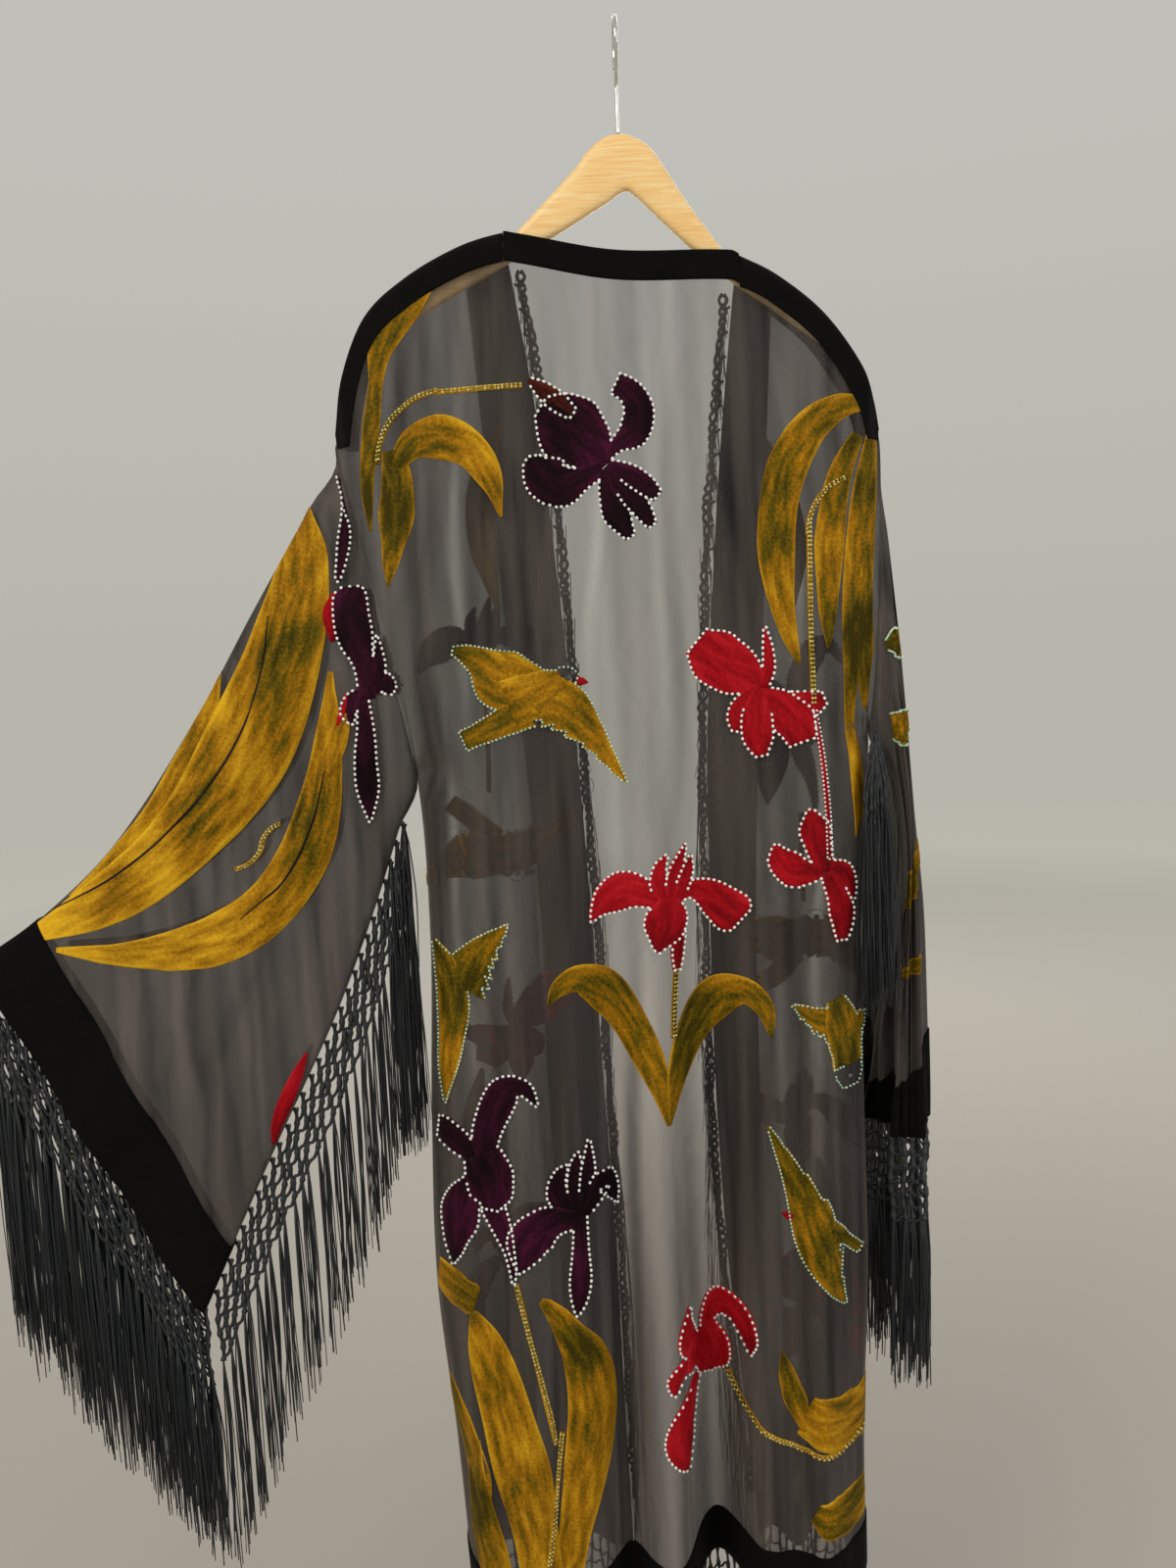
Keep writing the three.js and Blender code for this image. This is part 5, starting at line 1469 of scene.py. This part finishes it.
WOOD_POWER = 3.4            # of a section, which is a superellipse: a rounded block


def hanger_wood():
    """Rounded sections from end to end, bent forward towards both ends."""
    xs = spread(wood_line["x"][0], wood_line["x"][-1], WOOD_SECTIONS)[:, None]
    top, low, half = (curve(wood_line, "x", name)(xs) for name in ("top", "low", "half"))
    angles = turns(WOOD_SIDES)
    across, upward = (np.sign(way) * np.abs(way) ** (2 / WOOD_POWER)
                      for way in (np.cos(angles), np.sin(angles)))
    return rods(stack(xs, contour(xs) + half * across, (low - top) / 2 * upward - (top + low) / 2)[None])


WIRE, HOOK_RADIUS = 1.6, 17.6
HOOK_BEND = (130, -112)     # degrees from the crown at the tip and at the shank
# The shank below the bend, which winds back under the crown
shank_line = table("along y z", (14, -6.5, -37), (23, -0.8, -45), (28, 0, -50), (43, 0, -65), (59, 0, -80.6))


def hanger_hook():
    """A wire through the hook's round bend and down its shank."""
    angles = np.radians(spread(*HOOK_BEND, 60))
    bend = stack(0 * angles, HOOK_RADIUS * np.sin(angles), WIRE - HOOK_RADIUS + HOOK_RADIUS * np.cos(angles))
    stations = {name: np.concatenate([[start], shank_line[name]])
                for name, start in zip(("along", "y", "z"), (0, *bend[-1, 1:]))}
    steps = spread(1.5, shank_line["along"][-1], 40)
    shank = stack(0 * steps, curve(stations, "along", "y")(steps), curve(stations, "along", "z")(steps))
    return tubes(np.concatenate([bend, shank])[None], WIRE, 16, across=(1, 0, 0))


make("hanger_maple", hanger_wood(), maple, ["hanger_wood"])
make("hook_wire", hanger_hook(), chrome, ["hanger_hook"])

# Fringes
CORD = 1.35                 # radius of a cord
EDGE_DROP = 1.5             # from an edge to the first row of its net
ROW_STEPS = 8               # points of a cord from one row of knots to the next
# Pitch of the upright cords, rows of knots, drop from row to row, and radius of the cords
NETS = {
    "cuff": dict(pitch=14.5, rows=6, row_drop=12, cord=CORD * 1.15),
    "seam": dict(pitch=16.5, rows=5, row_drop=13, cord=CORD * 1.35),
    "hem": dict(pitch=10.5, rows=5, row_drop=14, cord=CORD),
}
CUFF_ENDS = {"left": (168, 263), "right": (155.5, 155.5)}    # below a cuff's lower and upper end
HEM_ENDS = 182


def evenly(line, pitch, loop=False):
    """Points at an even pitch along a line."""
    if loop:
        line = np.concatenate([line, line[:1]])
    far = np.concatenate([[0], np.cumsum(np.linalg.norm(np.diff(line, axis=0), axis=1))])
    count = max(int(round(far[-1] / pitch)), 2)
    at = (np.arange(count) + (0 if loop else 0.5)) * far[-1] / count
    return np.stack([np.interp(at, far, line[:, k]) for k in range(3)], axis=1)


def net(line, pitch, rows, row_drop, cord, loop=False):
    """Knotted header below a line: an upright cord at each pitch with a knot at each row,
    and a cord that sags and winds from knot to knot along the row. Also gives the cords'
    tops and ends."""
    edge = evenly(line, pitch, loop)
    k = np.arange(len(edge))
    down = spread(0, rows * row_drop, rows * ROW_STEPS + 1)
    uneven = 2 * np.sin(2.4 * k + 0.7 * np.sin(5.1 * k))
    wobble = np.sin(down[None, :] * 0.11 + uneven[:, None]) * np.minimum(down / 30, 1)
    cords = edge[:, None] + stack(1.4 * wobble, 1.4 * wobble[:, ::-1], -down[None, :] + 0 * wobble)
    knots = np.exp(-((down + row_drop / 2) % row_drop - row_drop / 2) ** 2 / 8)
    upright = tubes(cords, cord * (0.85 + 0.75 * knots[None, :]), 5)
    here = cords[:, np.arange(1, rows + 1) * ROW_STEPS]
    there = np.roll(here, -1, axis=0) if loop else here[1:]
    here = here if loop else here[:-1]
    share = spread(0, 1, 9)
    arcs = mix(here[:, :, None], there[:, :, None], share[:, None])
    own = np.sin(3.1 * k[:len(arcs), None] + 1.9 * np.arange(rows)[None, :])[..., None]
    arcs[..., 2] -= (2 + own) * np.sin(math.pi * share) + (1.6 - own) * np.sin(2 * math.pi * share)
    thick = cord * (0.8 + 0.4 * np.abs(1 - 2 * share) ** 3)
    level = tubes(arcs.reshape(-1, len(share), 3), thick, 4, across=(0.0, 0.0, 1.0))
    return joined([upright, level]), edge, cords[:, -1]


def tassels(roots, fibres, length, apart, radius, seed):
    """Loose fibres from each knot: they part little by little and fall plumb, uneven at the
    end."""
    rng = np.random.default_rng(seed)
    count = len(roots)
    down = spread(0, 1, 8)
    size = np.broadcast_to(length, count)[:, None] * rng.uniform(0.82, 1.03, (count, fibres))
    away = rng.normal(0, apart, (count, fibres, 2))[..., None, :]
    bend = rng.normal(0, 1.2, (count, fibres, 2))[..., None, :]
    parted, bent = smooth(down * 1.5)[:, None], np.sin(down * math.pi * 1.4)[:, None]
    flat = (0.35 + 0.65 * parted) * away * smooth(down * 8)[:, None] + bend * bent
    paths = roots[:, None, None] + stack(flat[..., 0], flat[..., 1], 2 - size[..., None] * down)
    paths = paths.reshape(-1, len(down), 3)
    thin = radius * rng.uniform(0.7, 1.2, (len(paths), 1)) * (1 - 0.3 * down)
    return tubes(paths, thin, 3, turn=rng.uniform(0, 6, len(paths)))


def fringe(name, *parts):
    """A fringe's shapes as one piece."""
    make(name + "_cord", joined(parts), viscose, [name])


for side, (lower, upper) in CUFF_ENDS.items():
    place_of, _, _ = SLEEVES["sleeve_" + side]
    mouth = place_of(turns(360), 1.0) - (0, 0, EDGE_DROP)
    header, roots, feet = net(mouth, **NETS["cuff"], loop=True)
    height = (roots[:, 2] - roots[:, 2].min()) / np.ptp(roots[:, 2])
    fringe("fringe_cuff_" + side, header, tassels(feet, 13, mix(lower, upper, height), 2.4, 0.8, 11))

seam_ts = spread(0.07, 0.965, 120)
seam_line = left_sleeve_point(math.pi, seam_ts)
# Past the cuff band's edge the fringe hangs from the band
seam_line[:, 2] -= mix(4, 8.4, smooth((seam_ts - 0.8) / 0.08))
header, roots, feet = net(seam_line, **NETS["seam"])
# The first knots below the underarm carry many more fibres, which hang close to the side
fringe("fringe_sleeve_left", header,
       tassels(feet, 9, spread(180, 205, len(feet)), 1.5, 0.8, 12),
       tassels(feet[:3], 34, (215, 205, 190), 3.2, 0.6, 16),
       tassels(roots[:3], 16, 120, 2.6, 0.9, 17))

# The right sleeve's fringe hangs from the underarm in one bunch, close at its top
BUNCH_X, BUNCH_Y, BUNCH_DROP = 185, -36, 546
k = np.arange(16)[:, None]
down = spread(0, 1, 16)[None, :]
opened = 2.5 + 6.5 * smooth(down * 1.3)
bunch = stack(BUNCH_X + opened * np.cos(2.4 * k), BUNCH_Y + 0.4 * opened * np.sin(2.4 * k),
              -BUNCH_DROP - 1.4 * k - 55 * down)
knotted = 0.8 + 0.9 * np.exp(-((down * 4 + 0.25 * k) % 1 - 0.5) ** 2 / 0.03)
fringe("fringe_sleeve_right", tubes(bunch, CORD * knotted, 5),
       tassels(bunch[:, -1], 14, 160, 3.0, 0.6, 13),
       tassels(bunch[:, 4], 6, 120, 2.4, 0.6, 19))

# Down each front edge runs a knotted chain, tied to the edge, with short tufts along it
# and thin threads that fall from it
CHAIN_LINK, CHAIN_HALF = 8.5, 3.2
for side, sign, neck in (("left", 1, NECK_LEFT), ("right", -1, NECK_RIGHT)):
    front = "front_" + side
    rows = spread(24, hem_below(front, neck) - HEM_BAND_WIDTH - 4, 560)
    edge = panel_point(front, np.full_like(rows, neck), rows)
    turn = rows * math.pi / CHAIN_LINK + 0.9 * np.sin(rows / 23) + 0.5 * np.sin(rows / 7.3)
    out = mix(7.5, 4.5, smooth((rows - 200) / 160)) + 0.8 * np.sin(rows / 9.1)
    swing = np.array([np.sin(turn), -np.sin(turn)]) * CHAIN_HALF * (0.8 + 0.3 * np.sin(rows / 13))
    over = 0.9 * np.array([np.cos(turn), -np.cos(turn)])
    chain = edge[None] + stack(sign * out[None, :] + swing, over, 0 * swing)
    anchors = evenly(edge, 19)
    k = np.arange(len(anchors))[:, None]
    tie, down = spread(0, 1, 4)[None, :], spread(0, 1, 12)[None, :]
    ties = anchors[:, None] + stack(sign * mix(1.6, 6.0, tie), 0 * k, -3 * tie)
    threads = anchors[:, None] + stack(sign * (7 + 5 * np.sin(3.3 * k + 1.5 * down)),
                                       3 * np.sin(1.7 * k) * smooth(down * 2),
                                       -(70 + 60 * np.sin(1.9 * k) ** 2) * down)
    fringe("fringe_" + front, tubes(chain, CORD * (1.0 + 0.5 * np.abs(np.cos(turn)) ** 6), 5),
           tubes(ties, CORD * 0.8, 4), tubes(threads, 0.35, 4),
           tassels(evenly(edge, 8) + (sign * 6, 0, 0), 4, 24, 1.5, 0.4, 18),
           tassels(threads[:, -1], 3, 90, 2.0, 0.3, 14))

for label, name, span in (("back", "back", (0, 1)), ("left", "front_left", (0, NECK_LEFT)),
                          ("right", "front_right", (NECK_RIGHT, 1))):
    us = spread(*span, 200)
    edge = panel_point(name, us, hem_below(name, us)) - (0, 0, EDGE_DROP)
    header, _, feet = net(edge, **NETS["hem"])
    fringe("fringe_hem_" + label, header, tassels(feet, 7, HEM_ENDS - PANELS[name]["longer"], 2.0, 0.75, 15))

# Motifs on the cloth
MOTIFS = {
    "back": (back_figures, back_leaves, back_stems),
    "front_left": (left_front_figures, left_front_leaves, left_stems),
    "front_right": (right_front_figures, right_front_leaves, right_stems),
    "sleeve_left_back": (sleeve_figures, sleeve_leaves, sleeve_stems, sleeve_details),
    "sleeve_left_front": (sleeve_figures, sleeve_leaves, sleeve_stems, sleeve_details),
    "sleeve_right": (right_sleeve_figures, right_sleeve_leaves, right_sleeve_stems),
}
for surface, motifs in MOTIFS.items():
    shapes, rows_of_beads = sew(surface, *motifs)
    for colour, parts in shapes.items():
        if parts:
            make(f"{surface}_{colour}_figures", joined(parts), figure_velvet[colour])
    for kind, parts in rows_of_beads.items():
        if parts:
            make(f"{surface}_{kind}_beads", joined(parts), bead_glass[kind])

# Floor and light
bpy.context.scene.view_settings.view_transform = "Standard"
FLOOR_DROP = 1640
FLOOR_REACH = 6000
floor_mesh = bpy.data.meshes.new("floor")
floor_corners = [(x * FLOOR_REACH * MM, y * FLOOR_REACH * MM, -FLOOR_DROP * MM)
                 for x, y in ((-1, -1), (1, -1), (1, 1), (-1, 1))]
floor_mesh.from_pydata(floor_corners, [], [(0, 1, 2, 3)])
floor = bpy.data.objects.new("floor", floor_mesh)
paint, tree, shader = begin("matt_floor_paint", {"Roughness": 0.9})
place = add(tree, "ShaderNodeTexCoord").outputs["Object"]
# The floor is darker near the middle and lighter far off: painted light that makes up for the lamps'
# falloff, so that the floor meets the room at the horizon.
way = add(tree, "ShaderNodeVectorMath", {0: place}, operation="LENGTH").outputs["Value"]
far = add(tree, "ShaderNodeMapRange", {"Value": way, "From Min": 1.6, "From Max": 5.5}).outputs["Result"]
tint = add(tree, "ShaderNodeValToRGB", {"Fac": far}, ((0.0, "#aca69e"), (1.0, "#f2f0ea")))
feed(tree, shader, {"Base Color": tint.outputs["Color"]})
floor_mesh.materials.append(paint)
bpy.context.scene.collection.objects.link(floor)

# A pale grey room that is a little warmer and darker towards the floor
world = bpy.data.worlds.new("studio")
world.use_nodes = True
tree = world.node_tree
background = tree.nodes["Background"]
way = add(tree, "ShaderNodeTexCoord").outputs["Generated"]
height = add(tree, "ShaderNodeSeparateXYZ", {"Vector": way}).outputs["Z"]
tint = add(tree, "ShaderNodeValToRGB", {"Fac": height}, ((0.0, "#b8b6ac"), (0.35, "#c0bfb9")))
feed(tree, background, {"Color": tint.outputs["Color"], "Strength": 1.0})
bpy.context.scene.world = world


def softbox(name, place, aim, width, height, power, colour):
    """Area light that faces a point."""
    lamp = bpy.data.lights.new(name, "AREA")
    lamp.shape = "RECTANGLE"
    lamp.size, lamp.size_y, lamp.energy = width, height, power
    lamp.color = linear(colour)[:3]
    light = bpy.data.objects.new(name, lamp)
    direction = Vector(aim) - Vector(place)
    light.matrix_world = Matrix.Translation(place) @ direction.to_track_quat("-Z", "Y").to_matrix().to_4x4()
    bpy.context.scene.collection.objects.link(light)


softbox("key", (-1.9, -2.2, 1.2), (0, 0, -0.6), 1.6, 1.6, 46, "#fff6ea")
softbox("fill", (2.2, -1.8, 0.2), (0, 0, -0.7), 1.8, 2.2, 20, "#eef3ff")
softbox("rear", (0.6, 2.6, 0.9), (0, 0, -0.6), 2.0, 2.0, 30, "#fff8f0")
